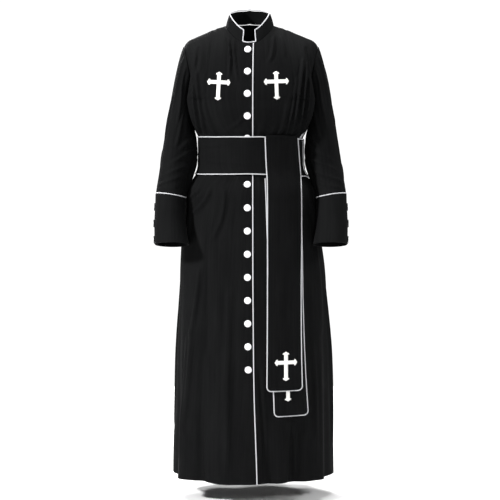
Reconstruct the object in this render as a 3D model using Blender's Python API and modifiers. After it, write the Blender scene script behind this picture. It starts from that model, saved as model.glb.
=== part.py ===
"""Cassock with a buttoned, piped front, deep cuffs and a band cincture with two hanging tails.

Metres, +Z up. The front faces -Y and the wearer's right side is -X. The origin lies between the shoulders
at the foot of the collar, where the wearer carries the garment. Every cloth panel is a wall worked out from
one body surface, which is given by a table of level sections, an upper part that closes over the shoulders
and a table of folds. Panels part at their seams by SEAM_GAP.

On that surface an angle of 0 is the centre front and grows towards the wearer's left, to 180 at the centre
back. A level of 0 is the underarm, a negative level is metres below it, and a level from 0 to 1 climbs to
the shoulder seam or the neckline.
"""

import math
from collections import namedtuple

import bmesh
import bpy
import numpy as np
from mathutils import Vector

# Cloth and seams
CLOTH = 0.0012
FIRM_CLOTH = 0.0018
SEAM_GAP = 0.0003
PIPING_RADIUS = 0.0016
PIPING_GAP = PIPING_RADIUS + SEAM_GAP
ARMHOLE_GAP = 0.0012

# Body
UNDERARM_Z = -0.215
HEM_Z = -1.322
SIDE_ANGLE = 95.0
ARM_HOLLOW_ANGLE = 97.0
ARM_HOLLOW_SPREAD = 30.0
SHOULDER_X = 0.197
SHOULDER_Y = -0.003
ARMHOLE_REACH = 0.060
ARMHOLE_TUCK = 0.004
NECK_X = -0.0045
NECK_HALF_WIDTH = 0.070
NECK_FRONT = 0.069
NECK_BACK = 0.065
NECK_ANGLE = 23.4
PRINCESS_ANGLE = 37.0

Section = namedtuple("Section", "z centre half_width hollow front back")
SECTIONS = (
    Section(-1.322, 0.0060, 0.233, 0.000, 0.168, 0.163),
    Section(-1.250, 0.0060, 0.232, 0.000, 0.166, 0.161),
    Section(-1.100, 0.0075, 0.228, 0.000, 0.161, 0.156),
    Section(-0.950, 0.0075, 0.225, 0.000, 0.156, 0.151),
    Section(-0.800, 0.0060, 0.217, 0.000, 0.150, 0.145),
    Section(-0.700, 0.0040, 0.213, 0.000, 0.145, 0.140),
    Section(-0.600, 0.0000, 0.203, 0.000, 0.139, 0.134),
    Section(-0.520, 0.0000, 0.193, 0.000, 0.133, 0.126),
    Section(-0.470, 0.0000, 0.187, 0.000, 0.127, 0.118),
    Section(-0.445, 0.0000, 0.170, 0.000, 0.117, 0.106),
    Section(-0.425, 0.0000, 0.158, 0.000, 0.110, 0.098),
    Section(-0.380, 0.0000, 0.153, 0.000, 0.107, 0.095),
    Section(-0.335, 0.0000, 0.153, 0.000, 0.107, 0.096),
    Section(-0.325, 0.0000, 0.154, 0.001, 0.108, 0.096),
    Section(-0.316, 0.0000, 0.162, 0.005, 0.110, 0.098),
    Section(-0.298, 0.0000, 0.185, 0.019, 0.114, 0.101),
    Section(-0.275, 0.0000, 0.203, 0.037, 0.119, 0.103),
    Section(-0.250, 0.0000, 0.213, 0.047, 0.121, 0.106),
    Section(-0.215, 0.0000, 0.220, 0.050, 0.118, 0.108),
)

Shoulder = namedtuple("Shoulder", "x z")
SHOULDERS = (
    Shoulder(0.000, 0.030),
    Shoulder(0.040, 0.018),
    Shoulder(0.072, 0.001),
    Shoulder(0.105, -0.009),
    Shoulder(0.132, -0.021),
    Shoulder(0.163, -0.034),
    Shoulder(0.185, -0.045),
    Shoulder(0.197, -0.058),
)

# How square the arch over the shoulder is, at the centre line and at the armhole
FRONT_ARCH, BACK_ARCH, ARMHOLE_ARCH = 1.5, 2.9, 1.9

# Skirt folds: each starts at the top level and is full at the hem. Below 0, the height makes a trough.
Fold = namedtuple("Fold", "top_z angle_top angle_hem width height")
FOLDS = (
    Fold(-0.56, -44.0, -62.0, 7.5, 0.013),
    Fold(-0.60, -37.0, -41.0, 6.0, -0.013),
    Fold(-0.78, -20.0, -21.0, 9.0, 0.012),
    Fold(-0.55, -76.0, -80.0, 7.0, -0.010),
    Fold(-1.02, 11.0, 12.0, 6.0, -0.015),
    Fold(-0.62, 38.0, 31.0, 8.0, -0.020),
    Fold(-0.60, 58.0, 59.0, 6.5, 0.010),
    Fold(-0.56, 70.0, 68.0, 8.0, -0.009),
    Fold(-0.56, 92.0, 94.0, 10.0, 0.009),
    Fold(-0.56, -100.0, -100.0, 9.0, 0.010),
    Fold(-0.52, -119.0, -120.0, 8.0, -0.011),
    Fold(-0.52, 118.0, 117.0, 8.0, -0.013),
    Fold(-0.50, -139.0, -140.0, 8.0, 0.014),
    Fold(-0.50, 137.0, 136.0, 8.0, 0.012),
    Fold(-0.50, -158.0, -160.0, 7.0, -0.012),
    Fold(-0.50, 159.0, 157.0, 7.0, -0.011),
    Fold(-0.52, 179.0, 177.0, 8.0, 0.010),
)

# Seams of the body, as angles at each level, for the wearer's left; the right one is the same but negative
Seam = namedtuple("Seam", "level angle")
PRINCESS_LEFT = (
    Seam(HEM_Z - UNDERARM_Z, 28.0), Seam(-0.785, 32.0), Seam(-0.36, 36.0), Seam(-0.165, 34.0),
    Seam(0.0, 36.0), Seam(1.0, PRINCESS_ANGLE),
)
PRINCESS_RIGHT = (
    Seam(HEM_Z - UNDERARM_Z, 40.0), Seam(-0.785, 38.0), Seam(-0.36, 37.0), Seam(-0.165, 34.0),
    Seam(0.0, 36.0), Seam(1.0, PRINCESS_ANGLE),
)
SIDE_BACK = (
    Seam(HEM_Z - UNDERARM_Z, 141.0), Seam(-0.36, 141.0), Seam(-0.165, 146.0),
    Seam(0.0, 143.0), Seam(1.0, 147.0),
)

# The piped edge of the right front, measured across from the middle of the body
Edge = namedtuple("Edge", "level x")
PLACKET = (
    Edge(HEM_Z - UNDERARM_Z, 0.015), Edge(-1.04, 0.013), Edge(-0.85, 0.007), Edge(-0.60, 0.004),
    Edge(-0.285, 0.003), Edge(0.0, 0.003), Edge(1.0, 0.005),
)
UNDERLAP = 0.0315
NOTCH_BESIDE = 0.0115
PLACKET_LIFT = CLOTH + 0.0005

# Levels of the panels' rows
LOWER_ROWS = (
    HEM_Z, -1.235, -1.14, -1.04, -0.94, -0.85, -0.76, -0.68, -0.60, -0.53, -0.478, -0.465, -0.452, -0.432,
    -0.412, -0.38, -0.335, -0.3255, -0.316, -0.298, -0.275, -0.245,
)
YOKE_ROWS = 8

# Collar
COLLAR_HEIGHT = 0.034
COLLAR_LEAN = 0.010
COLLAR_RISE_BACK = 0.006
COLLAR_FOOT = 0.0010
COLLAR_PIPING_RISE = 0.0030

# Sleeves: each row is a level ring of the wearer's left sleeve, fuller on its inner side at the elbow; the
# cuff starts at CUFF_Z.
Arm = namedtuple("Arm", "z x y half_width half_depth drop_inner drop_back fuller")
ARMS = (
    Arm(-0.634, 0.2285, -0.096, 0.0485, 0.0520, 0.00, 0.20, 0.0000),
    Arm(-0.600, 0.2330, -0.081, 0.0460, 0.0520, 0.02, 0.18, 0.0000),
    Arm(-0.560, 0.2358, -0.064, 0.0438, 0.0520, 0.08, 0.12, 0.0000),
    Arm(-0.520, 0.2352, -0.048, 0.0430, 0.0525, 0.14, 0.08, 0.0000),
    Arm(-0.480, 0.2335, -0.032, 0.0440, 0.0530, 0.14, 0.06, 0.0000),
    Arm(-0.440, 0.2275, -0.018, 0.0442, 0.0540, 0.08, 0.04, 0.0030),
    Arm(-0.380, 0.2205, -0.002, 0.0430, 0.0560, 0.02, 0.00, 0.0155),
    Arm(-0.325, 0.2145, 0.006, 0.0405, 0.0590, 0.00, 0.00, 0.0095),
    Arm(-0.276, 0.2105, 0.011, 0.0370, 0.0610, 0.00, 0.00, 0.0000),
    Arm(-0.240, 0.2068, 0.013, 0.0338, 0.0620, 0.00, 0.00, 0.0000),
)
ARM_ROWS = (-0.272, -0.305, -0.34, -0.38, -0.42, -0.455)
CUFF_Z = -0.487
CUFF_ROWS = (-0.53, -0.575, -0.61)
HEAD_ROWS = 4
HEAD_PULL = 0.75
CUFF_PROUD = 0.0015

# Cincture
BAND_TOP = -0.3215
BAND_BOTTOM = -0.4325
BAND_DROOP = 0.009
BAND_CLOTH = 0.0020
BAND_HEM = PIPING_GAP + 0.0003
BAND_END = 72.0
BAND_TUCKED_END = 62.0
BAND_LIFT_BACK = 0.0018
BAND_LIFT_FRONT = 0.0046
BUTTON_CLEARANCE = 0.0036
BAND_COLUMNS = 42
BAND_ROWS = 6
TAIL_CLOTH = 0.0014
KEEPER_ANGLE = 69.0
KEEPER_HALF_WIDTH = 0.0075
KEEPER_TOP = -0.3065

# Tails: the edges' distance from the middle of the body at each height, and the gap to the skirt
Tail = namedtuple("Tail", "z inner_x outer_x lift")
FRONT_TAIL = (
    Tail(-1.050, 0.0465, 0.1415, 0.0090),
    Tail(-1.000, 0.0470, 0.1405, 0.0082),
    Tail(-0.800, 0.0480, 0.1385, 0.0070),
    Tail(-0.600, 0.0480, 0.1395, 0.0068),
    Tail(-0.480, 0.0475, 0.1385, 0.0074),
    Tail(-0.445, 0.0465, 0.1365, 0.0090),
    Tail(-0.425, 0.0450, 0.1340, 0.0093),
    Tail(-0.335, 0.0410, 0.1270, 0.0094),
)
BACK_TAIL = (
    Tail(-1.124, 0.0685, 0.1620, 0.0021),
    Tail(-1.000, 0.0640, 0.1540, 0.0021),
    Tail(-0.800, 0.0550, 0.1465, 0.0021),
    Tail(-0.600, 0.0480, 0.1430, 0.0021),
    Tail(-0.460, 0.0430, 0.1380, 0.0021),
    Tail(-0.437, 0.0420, 0.1365, 0.0022),
    Tail(-0.424, 0.0415, 0.1360, 0.0021),
)
TAIL_CORNER = 0.010
TAIL_STRIPS = 5

# The front tail's turn over the band's top edge, from its hidden end: height and gap to the body of the
# strap's two faces
Turn = namedtuple("Turn", "outer_z outer_lift inner_z inner_lift")
TAIL_TURN = (
    Turn(-0.3380, 0.0014, -0.3380, 0.0028),
    Turn(-0.3220, 0.0014, -0.3220, 0.0028),
    Turn(-0.3172, 0.0016, -0.3188, 0.0028),
    Turn(-0.3172, 0.0096, -0.3188, 0.0086),
)

# Buttons
BUTTON_RADIUS = 0.0100
BUTTON_HEIGHT = 0.0046
BUTTON_SIDES = 9
BUTTON_GAP = SEAM_GAP + 0.0004
CUFF_BUTTON_RADIUS = 0.0085
ButtonRun = namedtuple("ButtonRun", "first_z last_z count")
BUTTON_RUNS = (ButtonRun(-0.073, -0.327, 5), ButtonRun(-0.394, -0.990, 10))
BUTTON_FROM_EDGE = 0.0135
CUFF_BUTTON_Z = (-0.526, -0.573, -0.619)
CUFF_BUTTON_ANGLE = -13.0

# Cross appliques, measured from the crossing of the arms. They lean by lean degrees, to the wearer's right
# at the foot when it is above 0.
Cross = namedtuple("Cross", "x z up down across lean")
CHEST_CROSS_RIGHT = Cross(-0.0925, -0.167, 0.030, 0.052, 0.0335, 3.0)
CHEST_CROSS_LEFT = Cross(0.0725, -0.165, 0.030, 0.052, 0.0360, -2.0)
FRONT_TAIL_CROSS = Cross(0.0975, -0.970, 0.031, 0.053, 0.0315, 0.0)
BACK_TAIL_CROSS = Cross(0.1045, -1.030, 0.031, 0.053, 0.0315, -1.0)
CROSS_THICK = 0.0010
CROSS_STEM = 0.0053
CROSS_BARB = 0.0094
CROSS_HEAD = 0.0088

CLOTH_COLOUR = (0.0105, 0.0105, 0.0125, 1.0)
PIPING_COLOUR = (0.72, 0.72, 0.74, 1.0)
BUTTON_COLOUR = (0.83, 0.83, 0.84, 1.0)
CROSS_COLOUR = (0.80, 0.79, 0.76, 1.0)


def smooth(rows, key, field, at):
    """The field of a table as a smooth curve of its key, read at each of the values given."""
    keys = np.array([getattr(row, key) for row in rows])
    values = np.array([getattr(row, field) for row in rows])
    slopes = np.gradient(values, keys)
    at = np.clip(np.asarray(at, float), keys[0], keys[-1])
    i = np.clip(np.searchsorted(keys, at) - 1, 0, len(keys) - 2)
    span = keys[i + 1] - keys[i]
    t = (at - keys[i]) / span
    start = (1 + 2 * t) * (1 - t) ** 2 * values[i] + t * (1 - t) ** 2 * span * slopes[i]
    end = t * t * (3 - 2 * t) * values[i + 1] + t * t * (t - 1) * span * slopes[i + 1]
    return start + end


def ease(t):
    """0 to 1 with level ends."""
    t = np.clip(t, 0.0, 1.0)
    return t * t * (3 - 2 * t)


def unit(vectors):
    return vectors / np.linalg.norm(vectors, axis=-1, keepdims=True)


def fold_height(angle, z):
    """How far the skirt's folds push the cloth out."""
    height = np.zeros(np.broadcast(angle, z).shape)
    for fold in FOLDS:
        down = np.clip((fold.top_z - z) / (fold.top_z - HEM_Z), 0.0, 1.0)
        middle = fold.angle_top + (fold.angle_hem - fold.angle_top) * down
        away = (angle - middle + 180.0) % 360.0 - 180.0
        height = height + fold.height * ease(down) * np.exp(-((away / fold.width) ** 2))
    return height


def ring_point(angle, z, folded=True):
    """A point of the body below the underarm."""
    turn = np.radians(angle)
    half_width = smooth(SECTIONS, "z", "half_width", z)
    depth = np.where(np.cos(turn) > 0, smooth(SECTIONS, "z", "front", z), smooth(SECTIONS, "z", "back", z))
    beside = np.exp(-(((np.abs(angle) - ARM_HOLLOW_ANGLE) / ARM_HOLLOW_SPREAD) ** 4))
    hollow = smooth(SECTIONS, "z", "hollow", z) * beside * np.sign(angle)
    x = smooth(SECTIONS, "z", "centre", z) + half_width * np.sin(turn) - hollow
    y = -depth * np.cos(turn)
    if folded:
        out = unit(np.stack([np.sin(turn) / half_width, -np.cos(turn) / depth], -1))
        height = fold_height(angle, z)
        x = x + out[..., 0] * height
        y = y + out[..., 1] * height
    return np.stack([x, y, z + 0.0 * x], -1)


def yoke_arch(angle, half, climb):
    """A point over the shoulder. climb goes from 0 at the underarm to a quarter turn at the shoulder."""
    away = np.abs(angle)
    side = np.where(angle < 0, -1.0, 1.0)
    if half == "front":
        away = np.minimum(away, SIDE_ANGLE)
        across = away / SIDE_ANGLE
        arch = FRONT_ARCH
        facing = -1.0
    else:
        away = np.maximum(away, SIDE_ANGLE)
        across = (180.0 - away) / (180.0 - SIDE_ANGLE)
        arch = BACK_ARCH
        facing = 1.0
    foot = ring_point(side * away, UNDERARM_Z + 0.0 * away, folded=False)
    top_x = SHOULDER_X * (1.588 * across - 0.588 * across ** 2)
    top_z = smooth(SHOULDERS, "x", "z", top_x)
    power = 2.0 / (arch + (ARMHOLE_ARCH - arch) * ease(across))
    rise = np.sin(climb) ** power
    reach = np.abs(np.cos(climb)) ** power
    edge = across ** 2 * np.sin(np.pi * rise).clip(0) ** 0.6
    x = foot[..., 0] + (side * top_x - foot[..., 0]) * rise
    x = x + NECK_X * rise * (1 - across) - side * ARMHOLE_TUCK * edge
    y = SHOULDER_Y + (foot[..., 1] - SHOULDER_Y) * reach + facing * ARMHOLE_REACH * edge
    z = UNDERARM_Z + (top_z - UNDERARM_Z) * rise
    return np.stack([x, y, z], -1)


def past_neckline(point):
    depth = np.where(point[..., 1] < SHOULDER_Y, NECK_FRONT, NECK_BACK)
    across = (point[..., 0] - NECK_X) / NECK_HALF_WIDTH
    return across ** 2 + ((point[..., 1] - SHOULDER_Y) / depth) ** 2 < 1.0


def yoke_point(angle, level, half):
    """A point of the body above the underarm. Each upright line ends at the neckline or the shoulder seam."""
    last = np.full(angle.shape, math.pi / 2)
    inside = past_neckline(yoke_arch(angle, half, last - 1e-9))
    if inside.any():
        low = np.zeros(inside.sum())
        high = low + math.pi / 2
        for _ in range(20):
            middle = (low + high) / 2
            reached = past_neckline(yoke_arch(angle[inside], half, middle))
            high = np.where(reached, middle, high)
            low = np.where(reached, low, middle)
        last[inside] = low
    return yoke_arch(angle, half, math.pi / 2 * level - (math.pi / 2 - last) * level ** 2)


def body_point(angle, level, half, folded=True):
    angle, level = np.broadcast_arrays(np.asarray(angle, float), np.asarray(level, float))
    points = ring_point(angle, UNDERARM_Z + np.minimum(level, 0.0), folded)
    above = level > 0
    if above.any():
        points[above] = yoke_point(angle[above], level[above], half)
    return points


def body_normal(angle, level, half, folded=True):
    """The direction out of the body, the same for both panels that meet at a seam."""
    angle, level = np.broadcast_arrays(np.asarray(angle, float), np.asarray(level, float))
    step = np.where(level > 0, 0.012, 0.002)
    up = np.where(level > 0, np.minimum(level + step, 1.0), np.minimum(level + step, 0.0))
    down = np.where(level > 0, np.maximum(level - step, 0.0), level - step)
    across = body_point(angle + 0.4, level, half, folded) - body_point(angle - 0.4, level, half, folded)
    rise = body_point(angle, up, half, folded) - body_point(angle, down, half, folded)
    normal = np.cross(across, rise)
    at_shoulder = (level >= 1.0) & (np.abs(np.cos(np.radians(angle))) < math.cos(math.radians(NECK_ANGLE + 1)))
    normal[..., 1] = np.where(at_shoulder, 0.0, normal[..., 1])
    return unit(normal)


def angle_at(x, level, folded=False):
    """The angle of the front where the body is as far across as x."""
    x, level = np.broadcast_arrays(np.asarray(x, float), np.asarray(level, float))
    low = np.full(x.shape, -75.0)
    high = np.full(x.shape, 75.0)
    for _ in range(20):
        middle = (low + high) / 2
        short = body_point(middle, level, "front", folded)[..., 0] < x
        low = np.where(short, middle, low)
        high = np.where(short, high, middle)
    return (low + high) / 2


def front_level(x, z):
    """The level of the front at the height z, on the line that is x across."""
    x, z = np.broadcast_arrays(np.asarray(x, float), np.asarray(z, float))
    low = np.zeros(x.shape)
    high = np.ones(x.shape)
    for _ in range(16):
        middle = (low + high) / 2
        below = body_point(angle_at(x, middle), middle, "front")[..., 2] < z
        low = np.where(below, middle, low)
        high = np.where(below, high, middle)
    return np.where(z > UNDERARM_Z, (low + high) / 2, z - UNDERARM_Z)


def material(name, colour, roughness):
    made = bpy.data.materials.new(name)
    made.use_nodes = True
    shader = made.node_tree.nodes["Principled BSDF"]
    shader.inputs["Base Color"].default_value = colour
    shader.inputs["Roughness"].default_value = roughness
    shader.inputs["Metallic"].default_value = 0.0
    return made


def add_object(name, data, paint):
    made = bpy.data.objects.new(name, data)
    data.materials.append(paint)
    bpy.data.collections["cassock"].objects.link(made)
    return made


def add_wall(name, outer, inner, paint, closed=False):
    """A closed wall between two grids of points, both rows by columns. A closed one joins its last column
    to its first."""
    rows, columns = outer.shape[:2]
    mesh = bmesh.new()
    faces = [[[mesh.verts.new(point) for point in row] for row in grid] for grid in (outer, inner)]
    spans = columns if closed else columns - 1
    for row in range(rows - 1):
        for column in range(spans):
            after = (column + 1) % columns
            for grid, turned in zip(faces, (False, True)):
                corners = [grid[row][column], grid[row][after], grid[row + 1][after], grid[row + 1][column]]
                for face in (corners[:3], [corners[0], *corners[2:]]):
                    mesh.faces.new(face[::-1] if turned else face)
    for row, turned in ((0, True), (rows - 1, False)):
        for column in range(spans):
            after = (column + 1) % columns
            front, back = faces[0][row], faces[1][row]
            corners = [front[column], front[after], back[after], back[column]]
            mesh.faces.new(corners[::-1] if turned else corners)
    if not closed:
        for column, turned in ((0, False), (columns - 1, True)):
            for row in range(rows - 1):
                front, back = faces[0], faces[1]
                corners = [front[row][column], front[row + 1][column], back[row + 1][column], back[row][column]]
                mesh.faces.new(corners[::-1] if turned else corners)
    bmesh.ops.recalc_face_normals(mesh, faces=mesh.faces)
    data = bpy.data.meshes.new(name)
    mesh.to_mesh(data)
    mesh.free()
    data.shade_smooth()
    data.set_sharp_from_angle(angle=math.radians(50))
    return add_object(name, data, paint)


def add_tube(name, points, paint, cyclic=False):
    """Piping: a round cord along the points."""
    curve = bpy.data.curves.new(name, "CURVE")
    curve.dimensions = "3D"
    curve.bevel_depth = PIPING_RADIUS
    curve.bevel_resolution = 1
    curve.use_fill_caps = not cyclic
    spline = curve.splines.new("POLY")
    spline.points.add(len(points) - 1)
    for place, point in zip(spline.points, points):
        place.co = (*point, 1.0)
    spline.use_cyclic_u = cyclic
    return add_object(name, curve, paint)


def pull_in(grid, side, distance):
    """Moves one edge of a grid of points towards the points beside it."""
    moved = grid.copy()
    edge, beside = {
        "first_column": ((slice(None), 0), (slice(None), 1)),
        "last_column": ((slice(None), -1), (slice(None), -2)),
        "first_row": ((0,), (1,)),
        "last_row": ((-1,), (-2,)),
    }[side]
    moved[edge] = grid[edge] + distance * unit(grid[beside] - grid[edge])
    return moved


def column_angles(name, level):
    """The angles of a panel's columns, from its first seam to its last."""
    princess_left = smooth(PRINCESS_LEFT, "level", "angle", level)
    princess_right = -smooth(PRINCESS_RIGHT, "level", "angle", level)
    side_back = smooth(SIDE_BACK, "level", "angle", level)
    neck = NECK_ANGLE / PRINCESS_ANGLE
    overlap, notch = [0.0], 0.0
    if name in ("front_right", "front_left"):
        placket_x = smooth(PLACKET, "level", "x", level)
        placket = angle_at(placket_x, level)
        underlap = angle_at(placket_x - UNDERLAP, level)
        overlap = [underlap, (underlap + placket) / 2, placket]
        notch = angle_at(placket_x + NOTCH_BESIDE, level)
    back_neck = 180.0 - (180.0 - side_back) * neck
    columns = {
        "front_right": [princess_right, 2, princess_right * neck, 3, *alternate(overlap)],
        "front_left": [*alternate(overlap), 1, notch, 3, princess_left * neck, 2, princess_left],
        "side_front_right": [-SIDE_ANGLE, 8, princess_right],
        "side_front_left": [princess_left, 8, SIDE_ANGLE],
        "side_back_right": [-side_back, 6, -SIDE_ANGLE],
        "side_back_left": [SIDE_ANGLE, 6, side_back],
        "back_right": [-180.0, 3, -back_neck, 2, -side_back],
        "back_left": [side_back, 2, back_neck, 3, 180.0],
    }[name]
    ends, strips = columns[::2], columns[1::2]
    angles = [ends[0]]
    for start, end, count in zip(ends, ends[1:], strips):
        angles += [start + (end - start) * step / count for step in range(1, count + 1)]
    return [float(angle) for angle in angles]


def alternate(angles):
    """Angles with one strip between each two."""
    return [angles[0]] + [item for angle in angles[1:] for item in (1, angle)]


def panel_levels():
    lower = [z - UNDERARM_Z for z in LOWER_ROWS]
    return lower + [row / YOKE_ROWS for row in range(YOKE_ROWS + 1)]


def placket_lift(angle, level):
    """How far the right front stands off where it laps over the left one."""
    placket = angle_at(smooth(PLACKET, "level", "x", level), level)
    underlap = angle_at(smooth(PLACKET, "level", "x", level) - UNDERLAP, level)
    start = underlap - 0.6 * (placket - underlap)
    return PLACKET_LIFT * ease((angle - start) / (underlap - 0.15 - start))


def add_panel(name, paint):
    half = "back" if "back" in name else "front"
    levels = panel_levels()
    angles = np.array([column_angles(name, level) for level in levels])
    level_grid = np.repeat(np.array(levels)[:, None], angles.shape[1], axis=1)
    points = body_point(angles, level_grid, half)
    normals = body_normal(angles, level_grid, half)
    if name == "front_right":
        points = points + normals * placket_lift(angles, level_grid)[..., None]
    inner = points - CLOTH * normals
    grids = [points, inner]
    for side in ("first_column", "last_column"):
        open_edge = (name, side) in (("front_right", "last_column"), ("front_left", "first_column"))
        if not open_edge:
            grids = [pull_in(grid, side, SEAM_GAP / 2) for grid in grids]
    grids = [pull_in(grid, "last_row", SEAM_GAP / 2) for grid in grids]
    add_wall(name, *grids, paint)


def neckline(angle):
    """The foot of the collar at an angle of the body."""
    half = "front" if abs(angle) <= SIDE_ANGLE else "back"
    return body_point(angle, 1.0, half)


def neck_angles():
    """The panels' columns that reach the neckline, from the notch's left end round the back to its right."""
    front_left = column_angles("front_left", 1.0)[3:-2]
    back_left = column_angles("back_left", 1.0)[3:]
    back_right = column_angles("back_right", 1.0)[1:-3]
    front_right = column_angles("front_right", 1.0)[2:-2]
    return [*front_left, *back_left, *back_right, *front_right]


def collar_point(angle, height, inset):
    """A point of the collar: height up from the neckline, inset towards the neck."""
    foot = neckline(angle)
    out = unit(np.array([foot[0] - NECK_X, foot[1] - SHOULDER_Y, 0.0]))
    rear = ease((foot[1] - SHOULDER_Y) / NECK_BACK)
    rise = COLLAR_HEIGHT + COLLAR_RISE_BACK * float(rear)
    share = height / COLLAR_HEIGHT
    return foot - out * (COLLAR_LEAN * share + inset) + np.array([0.0, 0.0, share * rise])


def add_collar(cloth, white):
    angles = neck_angles()
    heights = (COLLAR_FOOT, COLLAR_HEIGHT * 0.5, COLLAR_HEIGHT)
    outer = np.array([[collar_point(a, h, 0.0) for a in angles] for h in heights])
    inner = np.array([[collar_point(a, h, FIRM_CLOTH) for a in angles] for h in heights])
    add_wall("collar", outer, inner, cloth)
    middle = FIRM_CLOTH / 2
    top = [collar_point(a, COLLAR_HEIGHT + COLLAR_PIPING_RISE, middle) for a in angles]
    ends = []
    for angle, side in ((angles[-1], 1.0), (angles[0], -1.0)):
        shift = np.array([side * PIPING_GAP, 0.0, 0.0])
        ends.append([collar_point(angle, h, middle) + shift for h in (0.030, 0.018, 0.0048)])
    top[-1] = top[-1] + np.array([PIPING_GAP * 0.75, 0.0, -0.0002])
    top[0] = top[0] + np.array([-PIPING_GAP * 0.75, 0.0, -0.0002])
    low = []
    for share in (0.07, 0.35, 0.65, 0.93):
        angle = angles[-1] + (angles[0] - angles[-1]) * share
        low.append(neckline(angle) + np.array([0.0, 0.0012, PIPING_RADIUS + 0.0017]))
    add_tube("piping_collar", [*top, *ends[0], *low, *ends[1][::-1]], white, cyclic=True)


def add_placket_piping(white):
    levels = np.array(panel_levels())[:-1]
    levels = np.append(levels, 0.965)
    x = smooth(PLACKET, "level", "x", levels)
    angles = angle_at(x + PIPING_GAP, levels)
    points = body_point(angles, levels, "front")
    normals = body_normal(angles, levels, "front")
    points = points + normals * (PLACKET_LIFT - CLOTH / 2 + PIPING_RADIUS * 0.55)
    add_tube("piping_placket", points, white)


def arm_ring(z, turn, proud=0.0):
    """A point of the wearer's left sleeve below the armhole. turn is 0 at the outer side, 90 at the front."""
    angle = np.radians(turn)
    across = np.cos(angle)
    back = -np.sin(angle)
    half_width = smooth(ARMS, "z", "half_width", z) + proud
    half_depth = smooth(ARMS, "z", "half_depth", z) + proud
    inner = ((1 - across) / 2) ** 1.6
    x = smooth(ARMS, "z", "x", z) + half_width * across - smooth(ARMS, "z", "fuller", z) * inner
    y = smooth(ARMS, "z", "y", z) + half_depth * back
    drop = -2 * smooth(ARMS, "z", "drop_inner", z) * half_width * inner
    drop = drop - smooth(ARMS, "z", "drop_back", z) * half_depth * back
    return np.stack([x, y, z + drop], -1)


def armhole_loop(count):
    """The armhole from the shoulder tip down the front and up the back, with its direction out."""
    levels = np.linspace(1.0, 0.0, count // 2 + 1)
    front = body_point(SIDE_ANGLE, levels, "front")
    back = body_point(SIDE_ANGLE, levels[::-1], "back")[1:-1]
    loop = np.concatenate([front, back])
    turns = np.arange(count) * 360.0 / count
    return loop, turns


def sleeve_grid():
    """The sleeve's rings from the armhole to the cuff."""
    loop, turns = armhole_loop(2 * YOKE_ROWS)
    first_ring = arm_ring(np.full(turns.shape, ARMS[-1].z), turns)
    next_ring = arm_ring(np.full(turns.shape, ARM_ROWS[0]), turns)
    under = (1 - np.cos(np.radians(turns))) / 2
    out = np.stack([0.42 + 0.45 * under, -0.28 * np.sin(np.radians(turns)), -0.90 + 0.0 * turns], -1)
    span = np.linalg.norm(first_ring - loop, axis=1, keepdims=True)
    rings = []
    for t in np.linspace(0.0, 1.0, HEAD_ROWS + 1):
        start = (1 + 2 * t) * (1 - t) ** 2 * loop + t * (1 - t) ** 2 * span * HEAD_PULL * unit(out)
        end = t * t * (3 - 2 * t) * first_ring
        end = end + t * t * (t - 1) * span * HEAD_PULL * unit(next_ring - first_ring)
        rings.append(start + end)
    for z in (*ARM_ROWS, CUFF_Z + PIPING_GAP):
        rings.append(arm_ring(np.full(turns.shape, z), turns))
    return np.array(rings)


def ring_normals(grid):
    """The direction out of a tube of rings that run downwards."""
    around = np.roll(grid, -1, axis=1) - np.roll(grid, 1, axis=1)
    along = np.gradient(grid, axis=0)
    return unit(np.cross(around, along))


def mirrored(grid, side):
    return grid * np.array([side, 1.0, 1.0])


def add_sleeve(side_name, side, cloth, white, button_white):
    rings = sleeve_grid()
    inner = rings - CLOTH * ring_normals(rings)
    rings = pull_in(rings, "first_row", ARMHOLE_GAP)
    inner = pull_in(inner, "first_row", ARMHOLE_GAP)
    add_wall(f"sleeve_{side_name}", mirrored(rings, side), mirrored(inner, side), cloth, closed=True)
    turns = np.arange(2 * YOKE_ROWS) * 180.0 / YOKE_ROWS
    heights = (CUFF_Z - PIPING_GAP, *CUFF_ROWS, ARMS[0].z)
    cuff = np.array([arm_ring(np.full(turns.shape, z), turns, CUFF_PROUD) for z in heights])
    lining = cuff - FIRM_CLOTH * ring_normals(cuff)
    add_wall(f"cuff_{side_name}", mirrored(cuff, side), mirrored(lining, side), cloth, closed=True)
    cord = mirrored(arm_ring(np.full(turns.shape, CUFF_Z), turns, 0.0004), side)
    add_tube(f"piping_cuff_{side_name}", cord, white, cyclic=True)
    for number, z in enumerate(CUFF_BUTTON_Z, 1):
        seat = arm_ring(z, CUFF_BUTTON_ANGLE, CUFF_PROUD)
        beside = arm_ring(z, CUFF_BUTTON_ANGLE + 2, CUFF_PROUD)
        below = arm_ring(z - 0.004, CUFF_BUTTON_ANGLE, CUFF_PROUD)
        normal = unit(np.cross(beside - seat, below - seat))
        name = f"button_cuff_{side_name}_{number}"
        add_button(name, mirrored(seat, side), mirrored(normal, side), CUFF_BUTTON_RADIUS, button_white)


def button_profile(radius):
    return [
        (0.0, BUTTON_HEIGHT),
        (radius * 0.55, BUTTON_HEIGHT * 0.88),
        (radius * 0.90, BUTTON_HEIGHT * 0.52),
        (radius, BUTTON_HEIGHT * 0.24),
        (radius * 0.82, 0.0),
        (0.0, 0.0),
    ]


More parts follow.
